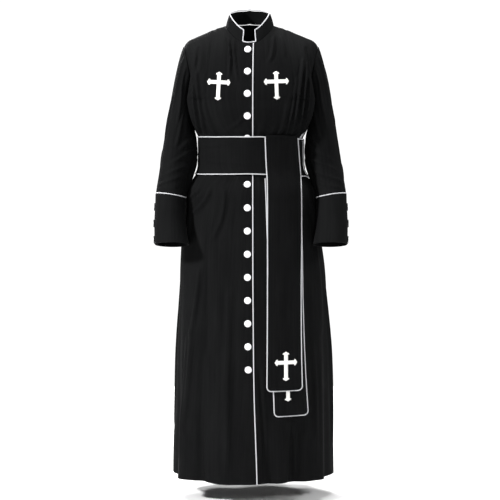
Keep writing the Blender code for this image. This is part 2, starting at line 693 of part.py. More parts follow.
def add_button(name, seat, normal, radius, paint):
    """A domed button whose back lies BUTTON_GAP off its seat."""
    mesh = bmesh.new()
    points = [mesh.verts.new((across, 0.0, up)) for across, up in button_profile(radius)]
    for start, end in zip(points, points[1:]):
        mesh.edges.new((start, end))
    data = bpy.data.meshes.new(name)
    mesh.to_mesh(data)
    mesh.free()
    made = add_object(name, data, paint)
    screw = made.modifiers.new("turned", "SCREW")
    screw.steps = BUTTON_SIDES
    screw.render_steps = BUTTON_SIDES
    screw.use_merge_vertices = True
    screw.merge_threshold = 0.00005
    screw.use_smooth_shade = True
    made.location = Vector(seat + normal * BUTTON_GAP)
    made.rotation_euler = Vector(normal).to_track_quat("Z", "Y").to_euler()


def front_button_places():
    """The middles of the front buttons on the right front: level and distance across."""
    heights = np.concatenate([np.linspace(*run) for run in BUTTON_RUNS])
    levels = front_level(-0.010, heights)
    return zip(smooth(PLACKET, "level", "x", levels) - BUTTON_FROM_EDGE, levels)


def add_front_buttons(paint):
    for number, (x, level) in enumerate(front_button_places(), 1):
        angle = angle_at(x, level)
        normal = body_normal(angle, level, "front")
        seat = body_point(angle, level, "front") + normal * PLACKET_LIFT
        add_button(f"button_front_{number:02d}", seat, normal, BUTTON_RADIUS, paint)


def band_lift(turned):
    """The gap between the band and the body, at an angle counted back from the band's free end."""
    front = ease((turned + 62.0) / 34.0)
    lift = BAND_LIFT_BACK + (BAND_LIFT_FRONT - BAND_LIFT_BACK) * front
    return lift + BUTTON_CLEARANCE * np.exp(-(((turned + 3.5) / 13.0) ** 2))


def band_z(height, turned):
    """A height of the band, which droops a little at the wearer's left."""
    left = np.clip(np.sin(np.radians(turned)), 0.0, 1.0)
    return height - BAND_DROOP * left ** 2


def band_point(turned, height, extra):
    angle = (turned + 180.0) % 360.0 - 180.0
    level = band_z(height, turned) - UNDERARM_Z
    normal = body_normal(angle, level, "front", folded=False)
    point = body_point(angle, level, "front", folded=False)
    return point + normal * (band_lift(turned) + extra)[..., None]


def add_band(cloth, white):
    turned = np.linspace(BAND_END, BAND_TUCKED_END - 360.0, BAND_COLUMNS + 1)
    heights = np.linspace(BAND_TOP - BAND_HEM, BAND_BOTTOM + BAND_HEM, BAND_ROWS)
    turned_grid, height_grid = np.meshgrid(turned, heights)
    outer = band_point(turned_grid, height_grid, np.full(turned_grid.shape, BAND_CLOTH))
    inner = band_point(turned_grid, height_grid, np.zeros(turned_grid.shape))
    add_wall("band", outer, inner, cloth)
    # The tucked end has no piping
    turned = turned[turned > BAND_END - 357.0]
    middle = np.full(turned.shape, BAND_CLOTH / 2)
    for name, height in (("top", BAND_TOP), ("bottom", BAND_BOTTOM)):
        cord = band_point(turned, np.full(turned.shape, height), middle)
        add_tube(f"piping_band_{name}", cord, white)
    ends = np.linspace(BAND_TOP - 2.2 * PIPING_GAP, BAND_BOTTOM + 2.2 * PIPING_GAP, 5)
    away = math.degrees(PIPING_GAP / SECTIONS[-7].front)
    beside = np.full(ends.shape, BAND_END + away)
    add_tube("piping_band_end", band_point(beside, ends, np.full(ends.shape, BAND_CLOTH * 0.75)), white)


def add_keeper(paint):
    """The pointed white tab that stands on the band's top edge."""
    heights = np.linspace(KEEPER_TOP, float(band_z(BAND_TOP, KEEPER_ANGLE)) + PIPING_GAP + 0.0009, 4)
    spread = np.degrees(KEEPER_HALF_WIDTH / SECTIONS[-5].half_width)
    grids = []
    for lift in (0.0022, 0.0008):
        rows = []
        for height, share in zip(heights, (0.12, 0.62, 1.0, 1.0)):
            angles = KEEPER_ANGLE + spread * share * np.linspace(-1.0, 1.0, 3)
            level = np.full(angles.shape, height - UNDERARM_Z)
            normal = body_normal(angles, level, "front", folded=False)
            rows.append(body_point(angles, level, "front", folded=False) + normal * lift)
        grids.append(np.array(rows))
    add_wall("band_keeper", *grids, paint)


def tail_point(rows, z, share, extra):
    """A point of a tail: share goes from 0 at its inner edge to 1 at its outer one."""
    z = np.asarray(z, float)
    inner_x = smooth(rows, "z", "inner_x", z)
    outer_x = smooth(rows, "z", "outer_x", z)
    level = z - UNDERARM_Z
    angle = angle_at(inner_x + (outer_x - inner_x) * share, level)
    normal = body_normal(angle, level, "front", folded=False)
    lift = smooth(rows, "z", "lift", z) + extra
    return body_point(angle, level, "front", folded=False) + normal * np.asarray(lift)[..., None]


def tail_edge(rows, top, grown=0.0):
    """Heights down one edge of a tail and round its lower corner, and how far in the edge is at each, with
    the outline grown outwards."""
    corner_z = rows[0].z + TAIL_CORNER
    heights = [top] + [z for z in reversed(LOWER_ROWS) if corner_z + 0.02 < z < top - 0.006]
    insets = [-grown] * len(heights)
    for turn in np.radians((0.0, 22.5, 45.0, 67.5, 90.0)):
        heights.append(corner_z - (TAIL_CORNER + grown) * math.sin(turn))
        insets.append(TAIL_CORNER - (TAIL_CORNER + grown) * math.cos(turn))
    return np.array(heights), np.array(insets)


def add_tail(name, rows, top, cloth, white, piping_top, turned=False):
    heights, insets = tail_edge(rows, top)
    width = smooth(rows, "z", "outer_x", heights) - smooth(rows, "z", "inner_x", heights)
    inset_share = (insets / width)[:, None]
    across = np.linspace(0.0, 1.0, TAIL_STRIPS + 1)
    share = inset_share + (1 - 2 * inset_share) * across
    z = np.repeat(heights[:, None], TAIL_STRIPS + 1, axis=1)
    outer = tail_point(rows, z, share, TAIL_CLOTH)
    inner = tail_point(rows, z, share, 0.0)
    if turned:
        outer = np.concatenate([fold_rows(rows, across, TAIL_CLOTH), outer])
        inner = np.concatenate([fold_rows(rows, across, 0.0), inner])
    add_wall(name, outer, inner, cloth)
    heights, insets = tail_edge(rows, piping_top, PIPING_GAP + 0.0002)
    width = smooth(rows, "z", "outer_x", heights) - smooth(rows, "z", "inner_x", heights)
    left = tail_point(rows, heights, insets / width, TAIL_CLOTH / 2)
    right = tail_point(rows, heights, 1 - insets / width, TAIL_CLOTH / 2)
    add_tube(f"piping_{name}", [*left, *right[::-1]], white)


def fold_rows(rows, across, extra):
    """The top of the front tail, which turns over the band's upper edge and ends behind it."""
    made = []
    for turn in TAIL_TURN:
        z, lift = (turn.outer_z, turn.outer_lift) if extra else (turn.inner_z, turn.inner_lift)
        height = np.full(across.shape, z)
        inner_x = smooth(rows, "z", "inner_x", height)
        outer_x = smooth(rows, "z", "outer_x", height)
        level = height - UNDERARM_Z
        angle = angle_at(inner_x + (outer_x - inner_x) * across, level)
        normal = body_normal(angle, level, "front", folded=False)
        made.append(body_point(angle, level, "front", folded=False) + normal * lift)
    return np.array(made)


def cross_outline(cross):
    """The corners of a cross with arrow ends, round from its top, in its own flat."""
    corners = []
    arms = ((0, cross.up), (-90, cross.across), (180, cross.down), (90, cross.across))
    for turn, length in arms:
        c, s = math.cos(math.radians(turn)), math.sin(math.radians(turn))
        half = [
            (CROSS_STEM, CROSS_STEM),
            (length - CROSS_HEAD, CROSS_STEM),
            (length - CROSS_HEAD * 0.86, CROSS_BARB),
            (length - CROSS_HEAD * 0.50, CROSS_BARB * 0.82),
            (length - CROSS_HEAD * 0.20, CROSS_BARB * 0.30),
        ]
        along = [(r, -h) for r, h in half] + [(length, 0.0)] + [(r, h) for r, h in half[:0:-1]]
        corners += [(h * c - r * s, r * c + h * s) for r, h in along]
    return corners


def add_cross(name, cross, place, paint):
    """A flat applique laid on the surface that place gives for a distance across, a height and a lift."""
    mesh = bmesh.new()
    mesh.faces.new([mesh.verts.new((u, v, 0.0)) for u, v in cross_outline(cross)])
    for axis, limits in ((0, (-cross.across, cross.across)), (1, (-cross.down, cross.up))):
        for cut in np.arange(limits[0] + 0.010, limits[1], 0.016):
            plane = [0.0, 0.0, 0.0]
            plane[axis] = float(cut)
            direction = [0.0, 0.0, 0.0]
            direction[axis] = 1.0
            geometry = [*mesh.verts, *mesh.edges, *mesh.faces]
            bmesh.ops.bisect_plane(mesh, geom=geometry, plane_co=plane, plane_no=direction)
    grown = bmesh.ops.extrude_face_region(mesh, geom=list(mesh.faces), use_keep_orig=True)
    for corner in grown["geom"]:
        if isinstance(corner, bmesh.types.BMVert):
            corner.co.z = 1.0
    corners = np.array([tuple(corner.co) for corner in mesh.verts])
    lift = SEAM_GAP + 0.0001 + CROSS_THICK * corners[:, 2]
    c, s = math.cos(math.radians(cross.lean)), math.sin(math.radians(cross.lean))
    across = cross.x + corners[:, 0] * c + corners[:, 1] * s
    up = cross.z - corners[:, 0] * s + corners[:, 1] * c
    placed = place(across, up, lift)
    for corner, point in zip(mesh.verts, placed):
        corner.co = point
    bmesh.ops.triangulate(mesh, faces=list(mesh.faces))
    bmesh.ops.recalc_face_normals(mesh, faces=list(mesh.faces))
    data = bpy.data.meshes.new(name)
    mesh.to_mesh(data)
    mesh.free()
    add_object(name, data, paint)


def on_chest(x, z, lift):
    level = front_level(x, z)
    angle = angle_at(x, level)
    return body_point(angle, level, "front") + body_normal(angle, level, "front") * lift[:, None]


def on_tail(rows):
    def place(x, z, lift):
        inner_x = smooth(rows, "z", "inner_x", z)
        outer_x = smooth(rows, "z", "outer_x", z)
        return tail_point(rows, z, (x - inner_x) / (outer_x - inner_x), TAIL_CLOTH + lift)
    return place


def build():
    for old in list(bpy.data.objects):
        bpy.data.objects.remove(old, do_unlink=True)
    garment = bpy.data.collections.new("cassock")
    bpy.context.scene.collection.children.link(garment)
    cloth = material("cloth", CLOTH_COLOUR, 0.72)
    piping = material("piping", PIPING_COLOUR, 0.6)
    buttons = material("button", BUTTON_COLOUR, 0.35)
    crosses = material("cross", CROSS_COLOUR, 0.7)
    for side in ("right", "left"):
        for name in ("front", "side_front", "side_back", "back"):
            add_panel(f"{name}_{side}", cloth)
    add_collar(cloth, piping)
    add_placket_piping(piping)
    add_sleeve("left", 1.0, cloth, piping, buttons)
    add_sleeve("right", -1.0, cloth, piping, buttons)
    add_front_buttons(buttons)
    add_band(cloth, piping)
    add_keeper(piping)
    add_tail("tail_back", BACK_TAIL, -0.424, cloth, piping, -0.4435)
    add_tail("tail_front", FRONT_TAIL, -0.3215, cloth, piping, -0.3215, turned=True)
    add_cross("cross_chest_right", CHEST_CROSS_RIGHT, on_chest, crosses)
    add_cross("cross_chest_left", CHEST_CROSS_LEFT, on_chest, crosses)
    add_cross("cross_tail_front", FRONT_TAIL_CROSS, on_tail(FRONT_TAIL), crosses)
    add_cross("cross_tail_back", BACK_TAIL_CROSS, on_tail(BACK_TAIL), crosses)


build()
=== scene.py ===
"""The looks of a cassock and its band cincture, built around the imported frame.

Metres, +Z up. The front faces -Y and the wearer's right side is -X. Each sheet of cloth is a thin wall over
its solid, on the same body surface and from the same tables. Creases, seams and trim are added.

On that surface an angle of 0 is the centre front and grows towards the wearer's left, to 180 at the centre
back. A level of 0 is the underarm, a negative level is metres below it, and a level from 0 to 1 climbs to
the shoulder seam or the neckline.
"""

import math
from collections import namedtuple

import bmesh
import bpy
import numpy as np
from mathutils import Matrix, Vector


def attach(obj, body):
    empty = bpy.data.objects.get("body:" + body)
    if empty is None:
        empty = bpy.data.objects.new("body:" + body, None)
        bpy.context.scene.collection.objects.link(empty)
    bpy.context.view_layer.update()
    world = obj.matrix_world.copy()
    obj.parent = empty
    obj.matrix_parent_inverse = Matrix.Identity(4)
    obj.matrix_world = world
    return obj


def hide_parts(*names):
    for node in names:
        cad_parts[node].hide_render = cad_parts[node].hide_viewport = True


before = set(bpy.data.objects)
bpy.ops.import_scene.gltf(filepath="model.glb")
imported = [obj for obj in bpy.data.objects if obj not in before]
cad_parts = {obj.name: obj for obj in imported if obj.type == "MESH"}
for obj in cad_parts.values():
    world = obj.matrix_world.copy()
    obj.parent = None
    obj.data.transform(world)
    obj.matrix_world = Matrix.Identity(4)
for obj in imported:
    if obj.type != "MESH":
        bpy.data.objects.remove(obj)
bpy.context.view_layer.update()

# Cloth and seams
CLOTH = 0.0012
FIRM_CLOTH = 0.0018
SEAM_GAP = 0.0003
PIPING_RADIUS = 0.0016
PIPING_GAP = PIPING_RADIUS + SEAM_GAP
ARMHOLE_GAP = 0.0012

# Body
UNDERARM_Z = -0.215
HEM_Z = -1.322
SIDE_ANGLE = 95.0
ARM_HOLLOW_ANGLE = 97.0
ARM_HOLLOW_SPREAD = 30.0
SHOULDER_X = 0.197
SHOULDER_Y = -0.003
ARMHOLE_REACH = 0.060
ARMHOLE_TUCK = 0.004
NECK_X = -0.0045
NECK_HALF_WIDTH = 0.070
NECK_FRONT = 0.069
NECK_BACK = 0.065
NECK_ANGLE = 23.4
PRINCESS_ANGLE = 37.0

Section = namedtuple("Section", "z centre half_width hollow front back")
SECTIONS = (
    Section(-1.322, 0.0060, 0.233, 0.000, 0.168, 0.163),
    Section(-1.250, 0.0060, 0.232, 0.000, 0.166, 0.161),
    Section(-1.100, 0.0075, 0.228, 0.000, 0.161, 0.156),
    Section(-0.950, 0.0075, 0.225, 0.000, 0.156, 0.151),
    Section(-0.800, 0.0060, 0.217, 0.000, 0.150, 0.145),
    Section(-0.700, 0.0040, 0.213, 0.000, 0.145, 0.140),
    Section(-0.600, 0.0000, 0.203, 0.000, 0.139, 0.134),
    Section(-0.520, 0.0000, 0.193, 0.000, 0.133, 0.126),
    Section(-0.470, 0.0000, 0.187, 0.000, 0.127, 0.118),
    Section(-0.445, 0.0000, 0.170, 0.000, 0.117, 0.106),
    Section(-0.425, 0.0000, 0.158, 0.000, 0.110, 0.098),
    Section(-0.380, 0.0000, 0.153, 0.000, 0.107, 0.095),
    Section(-0.335, 0.0000, 0.153, 0.000, 0.107, 0.096),
    Section(-0.325, 0.0000, 0.154, 0.001, 0.108, 0.096),
    Section(-0.316, 0.0000, 0.162, 0.005, 0.110, 0.098),
    Section(-0.298, 0.0000, 0.185, 0.019, 0.114, 0.101),
    Section(-0.275, 0.0000, 0.203, 0.037, 0.119, 0.103),
    Section(-0.250, 0.0000, 0.213, 0.047, 0.121, 0.106),
    Section(-0.215, 0.0000, 0.220, 0.050, 0.118, 0.108),
)

Shoulder = namedtuple("Shoulder", "x z")
SHOULDERS = (
    Shoulder(0.000, 0.030),
    Shoulder(0.040, 0.018),
    Shoulder(0.072, 0.001),
    Shoulder(0.105, -0.009),
    Shoulder(0.132, -0.021),
    Shoulder(0.163, -0.034),
    Shoulder(0.185, -0.045),
    Shoulder(0.197, -0.058),
)

# How square the arch over the shoulder is, at the centre line and at the armhole
FRONT_ARCH, BACK_ARCH, ARMHOLE_ARCH = 1.5, 2.9, 1.9

# Skirt folds: each starts at the top level and is full at the hem. Below 0, the height makes a trough.
Fold = namedtuple("Fold", "top_z angle_top angle_hem width height")
FOLDS = (
    Fold(-0.56, -44.0, -62.0, 7.5, 0.013),
    Fold(-0.60, -37.0, -41.0, 6.0, -0.013),
    Fold(-0.78, -20.0, -21.0, 9.0, 0.012),
    Fold(-0.55, -76.0, -80.0, 7.0, -0.010),
    Fold(-1.02, 11.0, 12.0, 6.0, -0.015),
    Fold(-0.62, 38.0, 31.0, 8.0, -0.020),
    Fold(-0.60, 58.0, 59.0, 6.5, 0.010),
    Fold(-0.56, 70.0, 68.0, 8.0, -0.009),
    Fold(-0.56, 92.0, 94.0, 10.0, 0.009),
    Fold(-0.56, -100.0, -100.0, 9.0, 0.010),
    Fold(-0.52, -119.0, -120.0, 8.0, -0.011),
    Fold(-0.52, 118.0, 117.0, 8.0, -0.013),
    Fold(-0.50, -139.0, -140.0, 8.0, 0.014),
    Fold(-0.50, 137.0, 136.0, 8.0, 0.012),
    Fold(-0.50, -158.0, -160.0, 7.0, -0.012),
    Fold(-0.50, 159.0, 157.0, 7.0, -0.011),
    Fold(-0.52, 179.0, 177.0, 8.0, 0.010),
)

# Seams of the body, as angles at each level, for the wearer's left; the right one is the same but negative
Seam = namedtuple("Seam", "level angle")
PRINCESS_LEFT = (
    Seam(HEM_Z - UNDERARM_Z, 28.0), Seam(-0.785, 32.0), Seam(-0.36, 36.0), Seam(-0.165, 34.0),
    Seam(0.0, 36.0), Seam(1.0, PRINCESS_ANGLE),
)
PRINCESS_RIGHT = (
    Seam(HEM_Z - UNDERARM_Z, 40.0), Seam(-0.785, 38.0), Seam(-0.36, 37.0), Seam(-0.165, 34.0),
    Seam(0.0, 36.0), Seam(1.0, PRINCESS_ANGLE),
)
SIDE_BACK = (
    Seam(HEM_Z - UNDERARM_Z, 141.0), Seam(-0.36, 141.0), Seam(-0.165, 146.0),
    Seam(0.0, 143.0), Seam(1.0, 147.0),
)

# The piped edge of the right front, measured across from the middle of the body
Edge = namedtuple("Edge", "level x")
PLACKET = (
    Edge(HEM_Z - UNDERARM_Z, 0.015), Edge(-1.04, 0.013), Edge(-0.85, 0.007), Edge(-0.60, 0.004),
    Edge(-0.285, 0.003), Edge(0.0, 0.003), Edge(1.0, 0.005),
)
UNDERLAP = 0.0315
LAP_START = 0.6
LAP_INSET = 0.15
NOTCH_BESIDE = 0.0115
PLACKET_LIFT = CLOTH + 0.0005

# Collar
COLLAR_HEIGHT = 0.034
COLLAR_LEAN = 0.010
COLLAR_RISE_BACK = 0.006
COLLAR_FOOT = 0.0010
COLLAR_PIPING_RISE = 0.0030

# Sleeves: each row is a level ring of the wearer's left sleeve, fuller on its inner side at the elbow; the
# cuff starts at CUFF_Z.
Arm = namedtuple("Arm", "z x y half_width half_depth drop_inner drop_back fuller")
ARMS = (
    Arm(-0.634, 0.2285, -0.096, 0.0485, 0.0520, 0.00, 0.20, 0.0000),
    Arm(-0.600, 0.2330, -0.081, 0.0460, 0.0520, 0.02, 0.18, 0.0000),
    Arm(-0.560, 0.2358, -0.064, 0.0438, 0.0520, 0.08, 0.12, 0.0000),
    Arm(-0.520, 0.2352, -0.048, 0.0430, 0.0525, 0.14, 0.08, 0.0000),
    Arm(-0.480, 0.2335, -0.032, 0.0440, 0.0530, 0.14, 0.06, 0.0000),
    Arm(-0.440, 0.2275, -0.018, 0.0442, 0.0540, 0.08, 0.04, 0.0030),
    Arm(-0.380, 0.2205, -0.002, 0.0430, 0.0560, 0.02, 0.00, 0.0155),
    Arm(-0.325, 0.2145, 0.006, 0.0405, 0.0590, 0.00, 0.00, 0.0095),
    Arm(-0.276, 0.2105, 0.011, 0.0370, 0.0610, 0.00, 0.00, 0.0000),
    Arm(-0.240, 0.2068, 0.013, 0.0338, 0.0620, 0.00, 0.00, 0.0000),
)
CUFF_Z = -0.487
HEAD_PULL = 0.75
HEAD_STEP = 0.032
CUFF_PROUD = 0.0015
CUFF_CORD_PROUD = 0.0004

# Cincture
BAND_TOP = -0.3215
BAND_BOTTOM = -0.4325
BAND_DROOP = 0.009
BAND_CLOTH = 0.0020
BAND_HEM = PIPING_GAP + 0.0003
BAND_END = 72.0
BAND_TUCKED_END = 62.0
BAND_LIFT_BACK = 0.0018
BAND_LIFT_FRONT = 0.0046
TAIL_CLOTH = 0.0014
KEEPER_ANGLE = 69.0
KEEPER_HALF_WIDTH = 0.0075
KEEPER_TOP = -0.3065

# The band leaves the body from this turn on, over this span, and further still over the front buttons
BAND_LIFT_TURN = -62.0
BAND_LIFT_SPAN = 34.0
BUTTON_CLEARANCE = 0.0036
BUTTON_TURN = -3.5
BUTTON_SPREAD = 13.0

# Tails: the edges' distance from the middle of the body at each height, and the gap to the skirt
Tail = namedtuple("Tail", "z inner_x outer_x lift")
FRONT_TAIL = (
    Tail(-1.050, 0.0465, 0.1415, 0.0090),
    Tail(-1.000, 0.0470, 0.1405, 0.0082),
    Tail(-0.800, 0.0480, 0.1385, 0.0070),
    Tail(-0.600, 0.0480, 0.1395, 0.0068),
    Tail(-0.480, 0.0475, 0.1385, 0.0074),
    Tail(-0.445, 0.0465, 0.1365, 0.0090),
    Tail(-0.425, 0.0450, 0.1340, 0.0093),
    Tail(-0.335, 0.0410, 0.1270, 0.0094),
)
BACK_TAIL = (
    Tail(-1.124, 0.0685, 0.1620, 0.0021),
    Tail(-1.000, 0.0640, 0.1540, 0.0021),
    Tail(-0.800, 0.0550, 0.1465, 0.0021),
    Tail(-0.600, 0.0480, 0.1430, 0.0021),
    Tail(-0.460, 0.0430, 0.1380, 0.0021),
    Tail(-0.437, 0.0420, 0.1365, 0.0022),
    Tail(-0.424, 0.0415, 0.1360, 0.0021),
)
TAIL_CORNER = 0.010

# The front tail's turn over the band's top edge. It starts behind the band at TAIL_TURN_Z; each face of the
# strap has its gap to the body there, its rise over the band and its share of the cloth in front.
TAIL_TURN_Z = -0.3380
TailFace = namedtuple("TailFace", "foot crest cloth")
TAIL_TURN = (TailFace(0.0014, 0.0043, TAIL_CLOTH), TailFace(0.0028, 0.0027, 0.0))

# Buttons
BUTTON_RADIUS = 0.0100
BUTTON_HEIGHT = 0.0046
BUTTON_GAP = SEAM_GAP + 0.0004
CUFF_BUTTON_RADIUS = 0.0085
ButtonRun = namedtuple("ButtonRun", "first_z last_z count")
BUTTON_RUNS = (ButtonRun(-0.073, -0.327, 5), ButtonRun(-0.394, -0.990, 10))
BUTTON_FROM_EDGE = 0.0135
CUFF_BUTTON_Z = (-0.526, -0.573, -0.619)
CUFF_BUTTON_ANGLE = -13.0

# Cross appliques, measured from the crossing of the arms. They lean by lean degrees, to the wearer's right
# at the foot when it is above 0.
Cross = namedtuple("Cross", "x z up down across lean")
CHEST_CROSS_RIGHT = Cross(-0.0925, -0.167, 0.030, 0.052, 0.0335, 3.0)
CHEST_CROSS_LEFT = Cross(0.0725, -0.165, 0.030, 0.052, 0.0360, -2.0)
FRONT_TAIL_CROSS = Cross(0.0975, -0.970, 0.031, 0.053, 0.0315, 0.0)
BACK_TAIL_CROSS = Cross(0.1045, -1.030, 0.031, 0.053, 0.0315, -1.0)
CROSS_THICK = 0.0010
CROSS_STEM = 0.0053
CROSS_BARB = 0.0094
CROSS_HEAD = 0.0088


def smooth(rows, key, field, at):
    """The field of a table as a smooth curve of its key, read at each of the values given."""
    keys = np.array([getattr(row, key) for row in rows])
    values = np.array([getattr(row, field) for row in rows])
    slopes = np.gradient(values, keys)
    at = np.clip(np.asarray(at, float), keys[0], keys[-1])
    i = np.clip(np.searchsorted(keys, at) - 1, 0, len(keys) - 2)
    span = keys[i + 1] - keys[i]
    t = (at - keys[i]) / span
    start = (1 + 2 * t) * (1 - t) ** 2 * values[i] + t * (1 - t) ** 2 * span * slopes[i]
    end = t * t * (3 - 2 * t) * values[i + 1] + t * t * (t - 1) * span * slopes[i + 1]
    return start + end


def ease(t):
    """0 to 1 with level ends."""
    t = np.clip(t, 0.0, 1.0)
    return t * t * (3 - 2 * t)


def unit(vectors):
    return vectors / np.linalg.norm(vectors, axis=-1, keepdims=True)


def fold_height(angle, z):
    """How far the skirt's folds push the cloth out."""
    height = np.zeros(np.broadcast(angle, z).shape)
    for fold in FOLDS:
        down = np.clip((fold.top_z - z) / (fold.top_z - HEM_Z), 0.0, 1.0)
        middle = fold.angle_top + (fold.angle_hem - fold.angle_top) * down
        away = (angle - middle + 180.0) % 360.0 - 180.0
        height = height + fold.height * ease(down) * np.exp(-((away / fold.width) ** 2))
    return height


def ring_point(angle, z, folded=True):
    """A point of the body below the underarm."""
    turn = np.radians(angle)
    half_width = smooth(SECTIONS, "z", "half_width", z)
    depth = np.where(np.cos(turn) > 0, smooth(SECTIONS, "z", "front", z), smooth(SECTIONS, "z", "back", z))
    beside = np.exp(-(((np.abs(angle) - ARM_HOLLOW_ANGLE) / ARM_HOLLOW_SPREAD) ** 4))
    hollow = smooth(SECTIONS, "z", "hollow", z) * beside * np.sign(angle)
    x = smooth(SECTIONS, "z", "centre", z) + half_width * np.sin(turn) - hollow
    y = -depth * np.cos(turn)
    if folded:
        out = unit(np.stack([np.sin(turn) / half_width, -np.cos(turn) / depth], -1))
        height = fold_height(angle, z)
        x = x + out[..., 0] * height
        y = y + out[..., 1] * height
    return np.stack([x, y, z + 0.0 * x], -1)


def yoke_arch(angle, half, climb):
    """A point over the shoulder. climb goes from 0 at the underarm to a quarter turn at the shoulder."""
    away = np.abs(angle)
    side = np.where(angle < 0, -1.0, 1.0)
    if half == "front":
        away = np.minimum(away, SIDE_ANGLE)
        across = away / SIDE_ANGLE
        arch = FRONT_ARCH
        facing = -1.0
    else:
        away = np.maximum(away, SIDE_ANGLE)
        across = (180.0 - away) / (180.0 - SIDE_ANGLE)
        arch = BACK_ARCH
        facing = 1.0
    foot = ring_point(side * away, UNDERARM_Z + 0.0 * away, folded=False)
    top_x = SHOULDER_X * (1.588 * across - 0.588 * across ** 2)
    top_z = smooth(SHOULDERS, "x", "z", top_x)
    power = 2.0 / (arch + (ARMHOLE_ARCH - arch) * ease(across))
    rise = np.sin(climb) ** power
    reach = np.abs(np.cos(climb)) ** power
    edge = across ** 2 * np.sin(np.pi * rise).clip(0) ** 0.6
    x = foot[..., 0] + (side * top_x - foot[..., 0]) * rise
    x = x + NECK_X * rise * (1 - across) - side * ARMHOLE_TUCK * edge
    y = SHOULDER_Y + (foot[..., 1] - SHOULDER_Y) * reach + facing * ARMHOLE_REACH * edge
    z = UNDERARM_Z + (top_z - UNDERARM_Z) * rise
    return np.stack([x, y, z], -1)


def past_neckline(point):
    depth = np.where(point[..., 1] < SHOULDER_Y, NECK_FRONT, NECK_BACK)
    across = (point[..., 0] - NECK_X) / NECK_HALF_WIDTH
    return across ** 2 + ((point[..., 1] - SHOULDER_Y) / depth) ** 2 < 1.0


def halved(low, high, steps, short):
    """The two ends of a range after halving it towards the place where short is no longer true."""
    for _ in range(steps):
        middle = (low + high) / 2
        below = short(middle)
        low = np.where(below, middle, low)
        high = np.where(below, high, middle)
    return low, high


def yoke_point(angle, level, half):
    """A point of the body above the underarm. Upright lines end at the neckline or the shoulder seam."""
    last = np.full(angle.shape, math.pi / 2)
    inside = past_neckline(yoke_arch(angle, half, last - 1e-9))
    if inside.any():
        start = np.zeros(inside.sum())
        last[inside], _ = halved(start, start + math.pi / 2, 20,
                                 lambda climb: ~past_neckline(yoke_arch(angle[inside], half, climb)))
    return yoke_arch(angle, half, math.pi / 2 * level - (math.pi / 2 - last) * level ** 2)


def body_point(angle, level, half, folded=True):
    angle, level = np.broadcast_arrays(np.asarray(angle, float), np.asarray(level, float))
    points = ring_point(angle, UNDERARM_Z + np.minimum(level, 0.0), folded)
    above = level > 0
    if above.any():
        points[above] = yoke_point(angle[above], level[above], half)
    return points


def body_normal(angle, level, half, folded=True):
    """The direction out of the body, the same for both panels that meet at a seam."""
    angle, level = np.broadcast_arrays(np.asarray(angle, float), np.asarray(level, float))
    step = np.where(level > 0, 0.012, 0.002)
    up = np.where(level > 0, np.minimum(level + step, 1.0), np.minimum(level + step, 0.0))
    down = np.where(level > 0, np.maximum(level - step, 0.0), level - step)
    across = body_point(angle + 0.4, level, half, folded) - body_point(angle - 0.4, level, half, folded)
    rise = body_point(angle, up, half, folded) - body_point(angle, down, half, folded)
    normal = np.cross(across, rise)
    beside_neck = np.abs(np.cos(np.radians(angle))) < math.cos(math.radians(NECK_ANGLE + 1))
    at_shoulder = (level >= 1.0) & beside_neck
    normal[..., 1] = np.where(at_shoulder, 0.0, normal[..., 1])
    return unit(normal)


def angle_at(x, level):
    """The angle of the unfolded front where the body is as far across as x."""
    x, level = np.broadcast_arrays(np.asarray(x, float), np.asarray(level, float))
    low, high = halved(np.full(x.shape, -75.0), np.full(x.shape, 75.0), 20,
                       lambda angle: body_point(angle, level, "front", folded=False)[..., 0] < x)
    return (low + high) / 2


def front_level(x, z):
    """The level of the front at the height z, on the line that is x across."""
    x, z = np.broadcast_arrays(np.asarray(x, float), np.asarray(z, float))
    low, high = halved(np.zeros(x.shape), np.ones(x.shape), 16,
                       lambda level: body_point(angle_at(x, level), level, "front")[..., 2] < z)
    return np.where(z > UNDERARM_Z, (low + high) / 2, z - UNDERARM_Z)


def arm_ring(z, turn, proud=0.0):
    """A point of the wearer's left sleeve below the armhole. turn is 0 at its outer side, 90 in front."""
    angle = np.radians(turn)
    across = np.cos(angle)
    back = -np.sin(angle)
    half_width = smooth(ARMS, "z", "half_width", z) + proud
    half_depth = smooth(ARMS, "z", "half_depth", z) + proud
    inner = ((1 - across) / 2) ** 1.6
    x = smooth(ARMS, "z", "x", z) + half_width * across - smooth(ARMS, "z", "fuller", z) * inner
    y = smooth(ARMS, "z", "y", z) + half_depth * back
    drop = -2 * smooth(ARMS, "z", "drop_inner", z) * half_width * inner
    drop = drop - smooth(ARMS, "z", "drop_back", z) * half_depth * back
    return np.stack([x, y, z + drop], -1)


def ring_normals(grid):
    """The direction out of a tube of rings that run downwards."""
    around = np.roll(grid, -1, axis=1) - np.roll(grid, 1, axis=1)
    along = np.gradient(grid, axis=0)
    return unit(np.cross(around, along))


def band_lift(turned):
    """The gap between the band and the body, at an angle counted back from the band's free end."""
    front = ease((turned - BAND_LIFT_TURN) / BAND_LIFT_SPAN)
    lift = BAND_LIFT_BACK + (BAND_LIFT_FRONT - BAND_LIFT_BACK) * front
    return lift + BUTTON_CLEARANCE * np.exp(-(((turned - BUTTON_TURN) / BUTTON_SPREAD) ** 2))


def band_z(height, turned):
    """A height of the band, which droops a little at the wearer's left."""
    left = np.clip(np.sin(np.radians(turned)), 0.0, 1.0)
    return height - BAND_DROOP * left ** 2


def off_front(angle, level, lift):
    """A point that stands lift off the unfolded body."""
    normal = body_normal(angle, level, "front", folded=False)
    return body_point(angle, level, "front", folded=False) + normal * np.asarray(lift)[..., None]


def band_point(turned, height, extra):
    """A point of the band, extra off its inner face."""
    angle = (turned + 180.0) % 360.0 - 180.0
    return off_front(angle, band_z(height, turned) - UNDERARM_Z, band_lift(turned) + extra)


def tail_width(rows, z):
    return smooth(rows, "z", "outer_x", z) - smooth(rows, "z", "inner_x", z)


